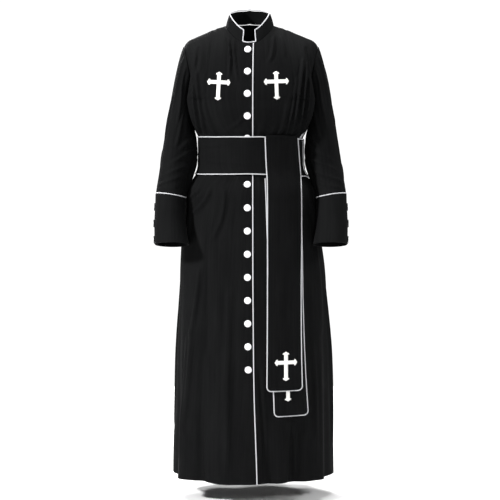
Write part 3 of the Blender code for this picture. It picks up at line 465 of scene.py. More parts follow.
def strap_point(rows, z, share, lift):
    """A point of a tail's strap: share goes from 0 at its inner edge to 1 at its outer one."""
    level = z - UNDERARM_Z
    angle = angle_at(smooth(rows, "z", "inner_x", z) + tail_width(rows, z) * share, level)
    return off_front(angle, level, lift)


def tail_point(rows, z, share, extra):
    """A point of a hanging tail, extra off its inner face."""
    return strap_point(rows, z, share, smooth(rows, "z", "lift", z) + extra)


def cross_outline(cross):
    """The corners of a cross with arrow ends, round from its top, in its own flat."""
    corners = []
    arms = ((0, cross.up), (-90, cross.across), (180, cross.down), (90, cross.across))
    for turn, length in arms:
        c, s = math.cos(math.radians(turn)), math.sin(math.radians(turn))
        half = [
            (CROSS_STEM, CROSS_STEM),
            (length - CROSS_HEAD, CROSS_STEM),
            (length - CROSS_HEAD * 0.86, CROSS_BARB),
            (length - CROSS_HEAD * 0.50, CROSS_BARB * 0.82),
            (length - CROSS_HEAD * 0.20, CROSS_BARB * 0.30),
        ]
        arm = [(r, -h) for r, h in half] + [(length, 0.0)] + [(r, h) for r, h in half[:0:-1]]
        corners += [(h * c - r * s, r * c + h * s) for r, h in arm]
    return corners


# How fine the visible meshes are
POINT_STEP = 0.005
YOKE_LEVELS = 70
PANEL_TURN = 1.1
PANEL_COLUMNS_LEAST = 12
COLLAR_ROWS = 14
SLEEVE_COLUMNS = 96
SLEEVE_HEAD_ROWS = 40
SLEEVE_ROWS = 56
CUFF_ROWS = 34
BAND_COLUMNS = 320
BAND_ROWS = 26
BAND_END_POINTS = 30
KEEPER_ROWS = 14
KEEPER_COLUMNS = 11
TAIL_STEP = 0.006
TAIL_COLUMNS = 21
CORD_STEP = 0.004
CORD_SIDES = 10
CROSS_CELL = 0.0018
SHARP_ANGLE = 60
CROSS_SHARP_ANGLE = 50

# The shown panels nearly touch at their seams, so that no light comes through
SHEET_GAP = 0.00004

# Creases of the body. Each runs from one point to the other as seen from its face, and bows sideways.
# Below 0, the height makes a trough.
Crease = namedtuple("Crease", "face x0 z0 x1 z1 bow width height")
CREASE_ROWS = {
    "front": (
        (0.150, -0.098, 0.109, -0.345, 0.004, 0.0062, 0.0044),
        (0.162, -0.104, 0.130, -0.345, 0.004, 0.0058, 0.0048),
        (0.134, -0.150, 0.090, -0.345, 0.006, 0.0070, 0.0032),
        (0.170, -0.150, 0.148, -0.335, 0.003, 0.0055, 0.0042),
        (0.112, -0.200, 0.068, -0.345, 0.006, 0.0085, 0.0018),
        (-0.160, -0.120, -0.128, -0.345, -0.004, 0.0070, 0.0030),
        (-0.168, -0.170, -0.147, -0.335, -0.003, 0.0060, 0.0034),
        (-0.138, -0.218, -0.080, -0.345, -0.008, 0.0095, 0.0020),
        (-0.067, -0.036, -0.062, -0.150, 0.003, 0.0055, 0.0030),
        (-0.050, -0.040, -0.038, -0.165, -0.003, 0.0055, 0.0026),
        (0.063, -0.034, 0.054, -0.108, 0.004, 0.0070, 0.0026),
        (0.084, -0.030, 0.098, -0.092, 0.002, 0.0080, 0.0018),
        (-0.152, -0.062, -0.160, -0.140, 0.002, 0.0080, -0.0022),
        (0.160, -0.062, 0.163, -0.140, 0.002, 0.0080, -0.0024),
        (-0.020, -0.268, -0.074, -0.305, 0.004, 0.0080, 0.0016),
        (0.022, -0.282, 0.060, -0.308, -0.003, 0.0070, 0.0015),
        (-0.118, -0.468, -0.172, -0.545, 0.010, 0.0090, 0.0030),
        (-0.078, -0.470, -0.112, -0.620, 0.012, 0.0100, 0.0028),
        (-0.140, -0.462, -0.185, -0.500, 0.004, 0.0065, 0.0022),
        (-0.150, -0.700, -0.178, -0.905, 0.004, 0.0090, 0.0030),
        (-0.174, -0.880, -0.204, -1.190, 0.004, 0.0100, 0.0034),
        (-0.060, -0.760, -0.066, -1.290, -0.006, 0.0140, 0.0028),
        (-0.122, -0.930, -0.128, -1.310, -0.004, 0.0120, 0.0030),
        (0.022, -0.980, 0.034, -1.312, 0.003, 0.0085, -0.0030),
        (0.160, -0.480, 0.196, -0.640, 0.008, 0.0085, 0.0028),
        (0.186, -0.620, 0.206, -0.900, 0.004, 0.0090, 0.0024),
        (0.178, -0.900, 0.190, -1.290, 0.004, 0.0100, 0.0030),
        (0.120, -1.150, 0.126, -1.315, 0.003, 0.0090, 0.0030),
    ),
    "back": (
        (0.150, -0.150, 0.100, -0.300, 0.012, 0.0100, 0.0040),
        (0.158, -0.200, 0.126, -0.308, 0.008, 0.0075, 0.0036),
        (0.128, -0.236, 0.066, -0.311, 0.010, 0.0090, 0.0028),
        (-0.148, -0.140, -0.104, -0.302, -0.010, 0.0100, 0.0038),
        (-0.160, -0.188, -0.132, -0.306, -0.008, 0.0080, 0.0036),
        (-0.134, -0.228, -0.072, -0.310, -0.012, 0.0095, 0.0026),
        (-0.052, -0.272, 0.038, -0.296, 0.012, 0.0085, 0.0024),
        (-0.022, -0.300, 0.064, -0.284, -0.006, 0.0080, 0.0018),
        (-0.132, -0.058, -0.092, -0.150, -0.004, 0.0110, 0.0022),
        (0.126, -0.054, 0.096, -0.140, 0.005, 0.0110, 0.0022),
        (-0.024, 0.000, -0.034, -0.066, 0.002, 0.0080, 0.0014),
        (-0.090, -0.468, -0.112, -0.640, 0.006, 0.0110, 0.0030),
        (0.078, -0.466, 0.104, -0.610, -0.008, 0.0110, 0.0032),
        (0.014, -0.470, 0.006, -0.600, 0.004, 0.0100, 0.0022),
        (-0.150, -0.560, -0.168, -0.860, 0.004, 0.0120, 0.0030),
        (0.148, -0.600, 0.170, -0.960, -0.004, 0.0120, 0.0030),
        (-0.040, -0.820, -0.048, -1.290, 0.004, 0.0140, 0.0032),
        (0.070, -0.900, 0.082, -1.305, 0.004, 0.0120, 0.0030),
        (-0.196, -0.980, -0.206, -1.300, 0.003, 0.0110, 0.0030),
        (0.190, -0.960, 0.204, -1.300, 0.003, 0.0110, 0.0030),
    ),
    "left": (
        (0.052, -0.470, 0.070, -0.640, 0.006, 0.0100, 0.0030),
        (-0.034, -0.468, -0.046, -0.600, 0.004, 0.0090, 0.0026),
        (-0.020, -0.760, -0.010, -1.240, 0.006, 0.0130, 0.0030),
        (0.088, -0.880, 0.096, -1.280, 0.003, 0.0110, 0.0030),
    ),
    "right": (
        (-0.040, -0.468, -0.060, -0.620, -0.006, 0.0100, 0.0030),
        (0.046, -0.470, 0.054, -0.580, 0.004, 0.0090, 0.0026),
        (0.030, -0.700, 0.022, -1.180, -0.006, 0.0130, 0.0030),
        (-0.078, -0.900, -0.086, -1.270, 0.003, 0.0110, 0.0030),
    ),
}
CREASES = [Crease(face, *row) for face, rows in CREASE_ROWS.items() for row in rows]

CREASE_DEPTH = 1.8
# A crease shows where its face looks this far towards the side it is seen from, and is full a span further
FACING_START = 0.05
FACING_SPAN = 0.3
# The body's creases flatten this near to the band, and at this share of a level below the top edge
BAND_SMOOTHING = 0.014
TOP_SMOOTHING = 0.12

# Small tucks that the band presses into the cloth above and below it. They start this far behind the band's
# edges, as a share of their reach, and no two that are side by side have the same size.
TUCK_BEHIND = 0.12
TUCK_FULL = 0.3
TUCK_SIZE_STEP = 0.618
TUCK_LEAN = 9.0
TUCKS = 31
TUCK_SPREAD = 137.5
TUCK_WIDTH = 2.1
TUCK_HEIGHT = 0.0024
TUCK_REACH_UP = 0.030
TUCK_REACH_DOWN = 0.050

# Creases of the sleeves: from one turn and height to the other, turns measured at this distance from the arm
SleeveCrease = namedtuple("SleeveCrease", "turn0 z0 turn1 z1 width height")
LEFT_SLEEVE = [SleeveCrease(*row) for row in (
    (180, -0.225, 180, -0.500, 0.0180, 0.0042), (184, -0.386, 176, -0.482, 0.0150, 0.0052),
    (64, -0.075, 40, -0.270, 0.0100, 0.0042), (108, -0.120, 76, -0.300, 0.0090, 0.0034),
    (34, -0.178, 22, -0.290, 0.0080, 0.0038), (150, -0.210, 104, -0.330, 0.0090, 0.0040),
    (166, -0.290, 92, -0.372, 0.0080, 0.0044), (172, -0.330, 70, -0.392, 0.0075, 0.0040),
    (168, -0.372, 60, -0.420, 0.0075, 0.0036), (150, -0.420, 44, -0.452, 0.0070, 0.0030),
    (118, -0.460, 30, -0.474, 0.0060, 0.0024), (58, -0.440, 20, -0.482, 0.0060, 0.0026),
    (-30, -0.090, -58, -0.260, 0.0110, 0.0034), (-70, -0.130, -96, -0.290, 0.0100, 0.0034),
    (-20, -0.300, -70, -0.372, 0.0090, 0.0030), (-120, -0.300, -40, -0.402, 0.0085, 0.0036),
    (-160, -0.350, -60, -0.432, 0.0080, 0.0034), (-150, -0.412, -50, -0.462, 0.0070, 0.0028),
    (6, -0.120, 2, -0.230, 0.0090, 0.0020), (10, -0.400, -24, -0.470, 0.0080, 0.0026),
)]
RIGHT_SLEEVE = [SleeveCrease(*row) for row in (
    (180, -0.225, 180, -0.500, 0.0180, 0.0040), (182, -0.384, 178, -0.484, 0.0150, 0.0052),
    (70, -0.070, 52, -0.250, 0.0100, 0.0036), (98, -0.110, 88, -0.290, 0.0090, 0.0040),
    (112, -0.246, 84, -0.352, 0.0080, 0.0038), (142, -0.200, 118, -0.316, 0.0090, 0.0036),
    (170, -0.300, 98, -0.360, 0.0080, 0.0040), (164, -0.344, 76, -0.400, 0.0075, 0.0042),
    (158, -0.392, 62, -0.432, 0.0070, 0.0032), (124, -0.436, 36, -0.462, 0.0065, 0.0032),
    (96, -0.468, 24, -0.478, 0.0060, 0.0026), (30, -0.200, 18, -0.330, 0.0090, 0.0030),
    (-36, -0.100, -52, -0.280, 0.0110, 0.0036), (-78, -0.120, -100, -0.270, 0.0100, 0.0030),
    (-110, -0.318, -30, -0.398, 0.0085, 0.0036), (-150, -0.346, -66, -0.420, 0.0080, 0.0036),
    (-140, -0.404, -40, -0.456, 0.0070, 0.0030), (2, -0.360, -30, -0.452, 0.0085, 0.0026),
)]
SLEEVE_CREASE_RADIUS = 0.05
# The sleeve's creases flatten this near to the armhole and the cuff
SLEEVE_SMOOTHING = 0.02

# Dips of the cloth: along the panels' seams, and along each cuff's opening
SEAM_DIP = 0.0015
SEAM_DIP_WIDTH = 0.0045
SEAM_DIP_INSET = 0.001
OPENING_DIP = 0.0007
OPENING_TURN = 11.0
OPENING_SPREAD = 2.4

# Colours: the darker and the lighter one of each stuff
CLOTH_DARK = (0.0024, 0.0025, 0.0027, 1.0)
CLOTH_LIGHT = (0.0066, 0.0068, 0.0070, 1.0)
CORD_SHADE = (0.44, 0.44, 0.46, 1.0)
CORD_WHITE = (0.54, 0.54, 0.56, 1.0)
SATIN_SHADE = (0.66, 0.655, 0.63, 1.0)
SATIN_WHITE = (0.80, 0.795, 0.77, 1.0)
BUTTON_SHADE = (0.76, 0.76, 0.775, 1.0)
BUTTON_WHITE = (0.82, 0.82, 0.83, 1.0)
FLOOR_WHITE = (0.86, 0.86, 0.86, 1.0)
SHEEN_ROUGHNESS = 0.45


def taper(share):
    """Full along the middle of a crease and nothing at its two ends."""
    return np.sqrt(np.clip(4 * share * (1 - share), 0.0, 1.0)) * (share > 0) * (share < 1)


def ridge(away, width):
    """A soft ridge with a shallow trough at each side."""
    s = (away / width) ** 2
    return (1 - 1.5 * s) * np.exp(-s)


def crease_height(points, normals):
    """How far the creases push each point of the body out."""
    height = np.zeros(points.shape[:-1])
    for crease in CREASES:
        if crease.face in ("front", "back"):
            across, facing = points[..., 0], -normals[..., 1]
        else:
            across, facing = points[..., 1], normals[..., 0]
        if crease.face in ("back", "right"):
            facing = -facing
        run = np.array([crease.x1 - crease.x0, crease.z1 - crease.z0])
        length = np.hypot(*run)
        side = np.array([-run[1], run[0]]) / length
        offset = np.stack([across - crease.x0, points[..., 2] - crease.z0], -1)
        share = offset @ run / length ** 2
        away = offset @ side - crease.bow * 4 * share * (1 - share)
        shown = ease((facing - FACING_START) / FACING_SPAN)
        height = height + crease.height * ridge(away, crease.width) * taper(share) * shown
    beside_band = np.maximum(points[..., 2] - BAND_TOP, BAND_BOTTOM - points[..., 2])
    return CREASE_DEPTH * height * ease(beside_band / BAND_SMOOTHING)


def tuck_height(angle, z):
    """The small tucks beside the band."""
    up = (z - BAND_TOP) / TUCK_REACH_UP
    down = (BAND_BOTTOM - z) / TUCK_REACH_DOWN
    near = np.where(z > (BAND_TOP + BAND_BOTTOM) / 2, up, down)
    strength = np.clip(near + TUCK_BEHIND, 0.0, TUCK_FULL) / TUCK_FULL
    strength = strength * np.exp(-np.clip(near, 0.0, 8.0) ** 1.5)
    height = np.zeros(np.broadcast(angle, z).shape)
    for number in range(TUCKS):
        middle = number * TUCK_SPREAD % 360.0
        size = 0.45 + 0.55 * (number * TUCK_SIZE_STEP % 1.0)
        away = (angle - middle - TUCK_LEAN * (size - 0.7) * near + 180.0) % 360.0 - 180.0
        height = height + size * ridge(away, TUCK_WIDTH * (0.8 + size))
    return TUCK_HEIGHT * height * strength


def dressed(angle, level, half):
    """A point of the creased body, and the direction out of it."""
    angle, level = np.broadcast_arrays(np.asarray(angle, float), np.asarray(level, float))
    points = body_point(angle, level, half)
    normals = body_normal(angle, level, half)
    height = crease_height(points, normals) + tuck_height(angle, points[..., 2])
    edge = np.clip((1.0 - level) / TOP_SMOOTHING, 0.0, 1.0)
    return points + normals * (height * edge)[..., None], normals


def along(points, axis):
    """Distances along a grid of points from its first row or column."""
    steps = np.linalg.norm(np.diff(points, axis=axis), axis=-1)
    start = np.zeros_like(np.take(steps, [0], axis=axis))
    return np.concatenate([start, np.cumsum(steps, axis=axis)], axis=axis)


def closed_up(grid):
    """A tube's grid with its first column once more at the end."""
    return np.concatenate([grid, grid[:, :1]], axis=1)


def cell_crosses(grid):
    """The cross product of each cell's two diagonals."""
    return np.cross(grid[1:, 1:] - grid[:-1, :-1], grid[1:, :-1] - grid[:-1, 1:])


def quads(*corners):
    """Four-cornered faces. Each corner is a layer, row and column, as numbers or as lists for many faces."""
    count = max(np.size(value) for value in corners[0])
    return np.array([[np.broadcast_to(value, count) for value in corner] for corner in corners])


def new_mesh(name, points, faces, uvs):
    """A smooth mesh that keeps its sharp edges and has its threads along the UV map."""
    data = bpy.data.meshes.new(name)
    data.from_pydata(points.reshape(-1, 3).tolist(), [], faces)
    data.uv_layers.new(name="threads").data.foreach_set("uv", np.asarray(uvs, np.float32).ravel())
    data.shade_smooth()
    data.set_sharp_from_angle(angle=math.radians(SHARP_ANGLE))
    return data


def add_cloth(name, outer, inner, paint, closed=False):
    """A sheet of cloth between two grids of points, rows by columns, with its threads along the UV map."""
    rows, columns = outer.shape[:2]
    wrapped = closed_up(outer) if closed else outer
    u, v = along(wrapped, 1), along(wrapped, 0)
    downs, acrosses = np.arange(rows - 1), np.arange(columns if closed else columns - 1)
    r, c = (grid.ravel() for grid in np.meshgrid(downs, acrosses, indexing="ij"))
    foot, end = rows - 1, columns - 1
    front, back = 0, 1
    parts = [
        quads((front, r, c), (front, r, c + 1), (front, r + 1, c + 1), (front, r + 1, c)),
        quads((back, r + 1, c), (back, r + 1, c + 1), (back, r, c + 1), (back, r, c)),
    ]
    c = acrosses
    parts += [
        quads((back, 0, c), (back, 0, c + 1), (front, 0, c + 1), (front, 0, c)),
        quads((front, foot, c), (front, foot, c + 1), (back, foot, c + 1), (back, foot, c)),
    ]
    if not closed:
        r = downs
        parts += [
            quads((front, r, 0), (front, r + 1, 0), (back, r + 1, 0), (back, r, 0)),
            quads((back, r, end), (back, r + 1, end), (front, r + 1, end), (front, r, end)),
        ]
    corners = np.concatenate(parts, axis=2).transpose(2, 0, 1)
    if np.sum(cell_crosses(outer) * (outer - inner)[:-1, :-1]) < 0:
        corners = corners[:, ::-1]
    layer, row, column = corners[..., 0], corners[..., 1], corners[..., 2]
    faces = layer * rows * columns + row * columns + column % columns
    uvs = np.stack([u[row, column], v[row, column]], -1)
    return add_piece(name, new_mesh(name, np.concatenate([outer, inner]), faces.tolist(), uvs), paint)


def add_piece(name, data, paint):
    """A visible piece that rides with the garment."""
    made = bpy.data.objects.new(name, data)
    data.materials.append(paint)
    bpy.context.scene.collection.objects.link(made)
    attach(made, "root")
    return made


def stand_for(piece, slot, *nodes):
    """The piece is shown in place of CAD nodes."""
    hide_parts(*nodes)


def resampled(points, step, cyclic=False):
    """Points at even steps along a smooth line through the ones given."""
    points = np.asarray(points, float)
    if cyclic:
        points = np.concatenate([points, points[:1]])
    length = along(points, 0)
    count = max(int(length[-1] / step), 3)
    at = np.linspace(0.0, length[-1], count + 1)
    if cyclic:
        at = at[:-1]
    return np.stack([np.interp(at, length, points[:, axis]) for axis in range(3)], -1)


def add_cord(name, points, paint, cyclic=False, radius=PIPING_RADIUS):
    """Piping: a round cord along the points, its length and turn in the UV map."""
    points = resampled(points, CORD_STEP, cyclic)
    if cyclic:
        ahead, behind = np.roll(points, -1, axis=0), np.roll(points, 1, axis=0)
    else:
        ahead = np.concatenate([points[1:], points[-1:]])
        behind = np.concatenate([points[:1], points[:-1]])
    tangents = unit(ahead - behind)
    side = unit(np.cross(tangents[0], [0.3, 1.0, 0.2]))
    sides = []
    for tangent in tangents:
        side = unit(side - tangent * (side @ tangent))
        sides.append(side)
    sides = np.array(sides)
    if cyclic:
        other = np.cross(tangents[0], sides[0])
        twist = math.atan2(sides[-1] @ other, sides[-1] @ sides[0])
    else:
        twist = 0.0
    spin = -twist * np.linspace(0.0, 1.0, len(points))[:, None]
    turns = np.arange(CORD_SIDES) * 2 * math.pi / CORD_SIDES + spin
    up = np.cross(tangents, sides)
    ring = points[:, None] + radius * (
        np.cos(turns)[..., None] * sides[:, None] + np.sin(turns)[..., None] * up[:, None])
    count = len(points)
    faces, uvs = [], []
    length = along(points, 0)
    step = length[-1] / (count - 1)
    for i in range(count if cyclic else count - 1):
        for j in range(CORD_SIDES):
            after, beside = (i + 1) % count, (j + 1) % CORD_SIDES
            faces.append([i * CORD_SIDES + j, i * CORD_SIDES + beside,
                          after * CORD_SIDES + beside, after * CORD_SIDES + j])
            low, high = length[i], length[i] + step
            left, right = j / CORD_SIDES, (j + 1) / CORD_SIDES
            uvs += [(left, low), (right, low), (right, high), (left, high)]
    if not cyclic:
        faces.append(list(range(CORD_SIDES))[::-1])
        faces.append(list(range((count - 1) * CORD_SIDES, count * CORD_SIDES)))
        uvs += [(0.5, 0.0)] * CORD_SIDES + [(0.5, float(length[-1]))] * CORD_SIDES
    return add_piece(name, new_mesh(name, ring, faces, uvs), paint)


def seam(name, level):
    """The angle of a panel's edge at each level."""
    if name in ("placket", "underlap"):
        x = smooth(PLACKET, "level", "x", level)
        return angle_at(x if name == "placket" else x - UNDERLAP, level)
    side = -1.0 if name.endswith("right") else 1.0
    if name.startswith("middle_back"):
        return np.full(level.shape, side * 180.0)
    if name.startswith("side_back"):
        return side * smooth(SIDE_BACK, "level", "angle", level)
    if name.startswith("princess"):
        return side * smooth(PRINCESS_RIGHT if side < 0 else PRINCESS_LEFT, "level", "angle", level)
    return np.full(level.shape, side * SIDE_ANGLE)


def placket_lift(angle, level):
    """How far the right front stands off where it laps over the left one."""
    placket, underlap = seam("placket", level), seam("underlap", level)
    start = underlap - LAP_START * (placket - underlap)
    return PLACKET_LIFT * ease((angle - start) / (underlap - LAP_INSET - start))


def body_levels(top):
    """Levels from the hem to the underarm, and from there to the top level."""
    drop = UNDERARM_Z - HEM_Z
    lower = np.linspace(-drop, 0.0, int(drop / POINT_STEP) + 1)
    return np.concatenate([lower, np.linspace(0.0, top, YOKE_LEVELS)[1:]])


def add_panel(name, first, last, paint):
    """One panel of the body, whose two long edges are the seams named."""
    half = "back" if "back" in name else "front"
    levels = body_levels(1.0)
    starts, ends = seam(first, levels), seam(last, levels)
    count = max(int(np.max(ends - starts) / PANEL_TURN), PANEL_COLUMNS_LEAST) + 1
    share = np.linspace(0.0, 1.0, count)
    angles = starts[:, None] + (ends - starts)[:, None] * share
    level_grid = np.repeat(levels[:, None], count, axis=1)
    points, normals = dressed(angles, level_grid, half)
    if name == "front_right":
        points = points + normals * placket_lift(angles, level_grid)[..., None]
    u = along(points, 1)
    sewn = [edge for edge in ((first, 0, 1, u), (last, -1, -2, u[:, -1:] - u))
            if edge[0] not in ("placket", "underlap")]
    for _, _, _, distance in sewn:
        dip = SEAM_DIP * np.exp(-(((distance - SEAM_DIP_INSET) / SEAM_DIP_WIDTH) ** 2))
        points = points - normals * dip[..., None]
    inner = points - CLOTH * normals
    for _, column, beside, _ in sewn:
        for grid in (points, inner):
            grid[:, column] += SHEET_GAP / 2 * unit(grid[:, beside] - grid[:, column])
    for grid in (points, inner):
        grid[-1] += SEAM_GAP / 2 * unit(grid[-2] - grid[-1])
    piece = add_cloth(f"{name}_cloth", points, inner, paint)
    stand_for(piece, "cloth", name)
    return piece, points


PANELS = (
    ("front_right", "princess_right", "placket"),
    ("front_left", "underlap", "princess_left"),
    ("side_front_right", "side_right", "princess_right"),
    ("side_front_left", "princess_left", "side_left"),
    ("side_back_right", "side_back_right", "side_right"),
    ("side_back_left", "side_left", "side_back_left"),
    ("back_right", "middle_back_right", "side_back_right"),
    ("back_left", "side_back_left", "middle_back_left"),
)


def neckline(angles):
    """The foot of the collar at each angle of the body."""
    front = body_point(np.clip(angles, -SIDE_ANGLE, SIDE_ANGLE), 1.0, "front")
    back = body_point(np.where(np.abs(angles) < SIDE_ANGLE, 180.0, angles), 1.0, "back")
    return np.where((np.abs(angles) <= SIDE_ANGLE)[:, None], front, back)


def neck_angles():
    """Angles round the neckline, from the notch's left end round the back to its right one."""
    top = np.array([1.0])
    x = smooth(PLACKET, "level", "x", top)
    left = float(angle_at(x + NOTCH_BESIDE, top)[0])
    right = float(seam("underlap", top)[0])
    behind = 180.0 - (180.0 - SIDE_BACK[-1].angle) * NECK_ANGLE / PRINCESS_ANGLE
    parts = (
        np.linspace(left, NECK_ANGLE, 24), np.linspace(behind, 180.0, 28)[1:],
        np.linspace(-180.0, -behind, 28)[1:-1], np.linspace(-NECK_ANGLE, right, 28),
    )
    return np.concatenate(parts)


def collar_point(angles, height, inset):
    """Points of the collar: height up from the neckline, inset towards the neck."""
    foot = neckline(angles)
    out = unit(np.stack([foot[:, 0] - NECK_X, foot[:, 1] - SHOULDER_Y, 0.0 * foot[:, 0]], -1))
    rear = ease((foot[:, 1] - SHOULDER_Y) / NECK_BACK)
    share = height / COLLAR_HEIGHT
    points = foot - out * (COLLAR_LEAN * share + inset)
    points[:, 2] += share * (COLLAR_HEIGHT + COLLAR_RISE_BACK * rear)
    return points


# Where the collar's cord turns round the notch: heights down its ends, and shares of the way between them
NOTCH_HEIGHTS = (0.032, 0.024, 0.015, 0.0048)
NOTCH_SHARES = (0.07, 0.35, 0.65, 0.93)
COLLAR_BULGE = 0.0008


def add_collar(cloth, white):
    """The collar, and the one cord that runs along its top, down both ends and along the notch."""
    angles = neck_angles()
    heights = np.linspace(COLLAR_FOOT, COLLAR_HEIGHT, COLLAR_ROWS)
    bulge = COLLAR_BULGE * np.sin(np.pi * (heights / COLLAR_HEIGHT))
    outer = np.array([collar_point(angles, h, -b) for h, b in zip(heights, bulge)])
    inner = np.array([collar_point(angles, h, FIRM_CLOTH - b) for h, b in zip(heights, bulge)])
    collar = add_cloth("collar_cloth", outer, inner, cloth)
    stand_for(collar, "cloth", "collar")
    middle = FIRM_CLOTH / 2
    top = collar_point(angles, COLLAR_HEIGHT + COLLAR_PIPING_RISE, middle)
    ends = []
    for index, side in ((-1, 1.0), (0, -1.0)):
        shift = np.array([side * PIPING_GAP, 0.0, 0.0])
        end = angles[[index]]
        ends.append([collar_point(end, h, middle)[0] + shift for h in NOTCH_HEIGHTS])
        top[index] += np.array([side * PIPING_GAP * 0.75, 0.0, -0.0002])
    low = []
    for share in NOTCH_SHARES:
        angle = angles[[-1]] + (angles[[0]] - angles[[-1]]) * share
        low.append(neckline(angle)[0] + np.array([0.0, 0.0012, PIPING_RADIUS + 0.0017]))
    cord = add_cord("collar_cord", [*top, *ends[0], *low, *ends[1][::-1]], white, cyclic=True)
    stand_for(cord, "piping", "piping_collar")


# The placket's cord ends at this level, just below the collar, and stands out by this share of its radius
PLACKET_CORD_TOP = 0.965
PLACKET_CORD_OUT = 0.55


def add_placket_cord(white):
    levels = body_levels(PLACKET_CORD_TOP)
    x = smooth(PLACKET, "level", "x", levels)
    points, normals = dressed(angle_at(x + PIPING_GAP, levels), levels, "front")
    points = points + normals * (PLACKET_LIFT - CLOTH / 2 + PIPING_RADIUS * PLACKET_CORD_OUT)
    cord = add_cord("placket_cord", points, white)
    stand_for(cord, "piping", "piping_placket")
    return cord


def armhole_loop(count):
    """The armhole from the shoulder tip down the front and up the back."""
    levels = np.linspace(1.0, 0.0, count // 2 + 1)
    front = body_point(SIDE_ANGLE, levels, "front")
    back = body_point(SIDE_ANGLE, levels[::-1], "back")[1:-1]
    return np.concatenate([front, back]), np.arange(count) * 360.0 / count


def level_ring(z, turns, proud=0.0):
    """The sleeve's ring at one height."""
    return arm_ring(np.full(turns.shape, z), turns, proud)


def sleeve_grid():
    """The sleeve's rings from the armhole to the cuff, and the turn of each column."""
    loop, turns = armhole_loop(SLEEVE_COLUMNS)
    first_ring = level_ring(ARMS[-1].z, turns)
    next_ring = level_ring(ARMS[-1].z - HEAD_STEP, turns)
    under = (1 - np.cos(np.radians(turns))) / 2
    out = np.stack([0.42 + 0.45 * under, -0.28 * np.sin(np.radians(turns)), -0.90 + 0.0 * turns], -1)
    span = np.linalg.norm(first_ring - loop, axis=1, keepdims=True)
    rings = []
    for t in np.linspace(0.0, 1.0, SLEEVE_HEAD_ROWS + 1):
        start = (1 + 2 * t) * (1 - t) ** 2 * loop + t * (1 - t) ** 2 * span * HEAD_PULL * unit(out)
        end = t * t * (3 - 2 * t) * first_ring
        end = end + t * t * (t - 1) * span * HEAD_PULL * unit(next_ring - first_ring)
        rings.append(start + end)
    rings += [level_ring(z, turns) for z in np.linspace(ARMS[-1].z, CUFF_Z + PIPING_GAP, SLEEVE_ROWS)[1:]]
    return np.array(rings), turns


def sleeve_creases(grid, turns, creases):
    """How far a sleeve's creases push its points out."""
    height = np.zeros(grid.shape[:2])
    z = grid[..., 2]
    for crease in creases:
        run = crease.z1 - crease.z0
        share = (z - crease.z0) / run
        middle = crease.turn0 + (crease.turn1 - crease.turn0) * share
        slope = np.radians(crease.turn1 - crease.turn0) * SLEEVE_CREASE_RADIUS / run
        away = ((turns - middle + 180.0) % 360.0 - 180.0) * math.radians(1) * SLEEVE_CREASE_RADIUS
        away = away / math.hypot(1.0, slope)
        height = height + crease.height * ridge(away, crease.width) * taper(share)
    down = along(grid, 0)
    return height * ease(np.minimum(down, down[-1] - down) / SLEEVE_SMOOTHING)


# A dark cord ring round each cuff button, which is painted shade along the white button's edge: sizes over
# the cuff's surface
LOOP_ACROSS = 14.0
LOOP_HEIGHT = 0.0100
LOOP_LIFT = 0.0014
LOOP_RISE = 0.0034
LOOP_RADIUS = 0.0011
LOOP_TURN = 1.0


def add_button_shade_ring(name, z, side, paint):
    """A dark cord ring in the cloth's colour that goes round a cuff button and stands off behind it: painted
    shade along the button's edge.
    """
    turns = np.radians(np.arange(0.0, 360.0, 10.0))
    around = CUFF_BUTTON_ANGLE + LOOP_TURN + LOOP_ACROSS * np.cos(turns)
    proud = CUFF_PROUD + LOOP_LIFT + LOOP_RISE * (1.0 - np.cos(turns)) / 2
    line = arm_ring(z + LOOP_HEIGHT * np.sin(turns), around, proud) * side
    loop = add_cord(name, line, paint, cyclic=True, radius=LOOP_RADIUS)
    return loop


def add_sleeve(side_name, creases, cloth, white, button_white):
    side = np.array([1.0 if side_name == "left" else -1.0, 1.0, 1.0])
    rings, turns = sleeve_grid()
    normals = ring_normals(rings)
    outer = rings + normals * sleeve_creases(rings, turns, creases)[..., None]
    inner = outer - CLOTH * normals
    for grid in (outer, inner):
        grid[0] += ARMHOLE_GAP * unit(grid[1] - grid[0])
    sleeve = add_cloth(f"sleeve_{side_name}_cloth", outer * side, inner * side, cloth, closed=True)
    stand_for(sleeve, "cloth", f"sleeve_{side_name}")
    add_cuff(side_name, side, turns, cloth, white, button_white)


def add_cuff(side_name, side, turns, cloth, white, button_white):
    """A cuff with its opening, its cord, its buttons and the dark rings of painted shade round them."""
    heights = np.linspace(CUFF_Z - PIPING_GAP, ARMS[0].z, CUFF_ROWS)
    rows = np.array([level_ring(z, turns, CUFF_PROUD) for z in heights])
    normals = ring_normals(rows)
    opening = (turns - CUFF_BUTTON_ANGLE - OPENING_TURN + 180.0) % 360.0 - 180.0
    rows = rows - normals * (OPENING_DIP * np.exp(-((opening / OPENING_SPREAD) ** 2)))[None, :, None]
    cuff = add_cloth(f"cuff_{side_name}_cloth", rows * side, (rows - FIRM_CLOTH * normals) * side, cloth,
                     closed=True)
    stand_for(cuff, "cloth", f"cuff_{side_name}")
    line = level_ring(CUFF_Z, np.arange(0.0, 360.0, 2.0), CUFF_CORD_PROUD) * side
    cord = add_cord(f"cuff_{side_name}_cord", line, white, cyclic=True)
    stand_for(cord, "piping", f"piping_cuff_{side_name}")
    places = []
    for z in CUFF_BUTTON_Z:
        seat = arm_ring(z, CUFF_BUTTON_ANGLE, CUFF_PROUD)
        beside = arm_ring(z, CUFF_BUTTON_ANGLE + 2, CUFF_PROUD)
        below = arm_ring(z - 0.004, CUFF_BUTTON_ANGLE, CUFF_PROUD)
        places.append((seat * side, unit(np.cross(beside - seat, below - seat)) * side))
    buttons = add_buttons(f"cuff_{side_name}_buttons", places, CUFF_BUTTON_RADIUS, button_white)
    stand_for(buttons, "button", *[f"button_cuff_{side_name}_{number}" for number in (1, 2, 3)])
    # Dark rings of the cloth round the cuff buttons: painted shade along the white buttons' edges
    loops = [add_button_shade_ring(f"cuff_{side_name}_loop_{number}", z, side, cloth)
             for number, z in enumerate(CUFF_BUTTON_Z, 1)]


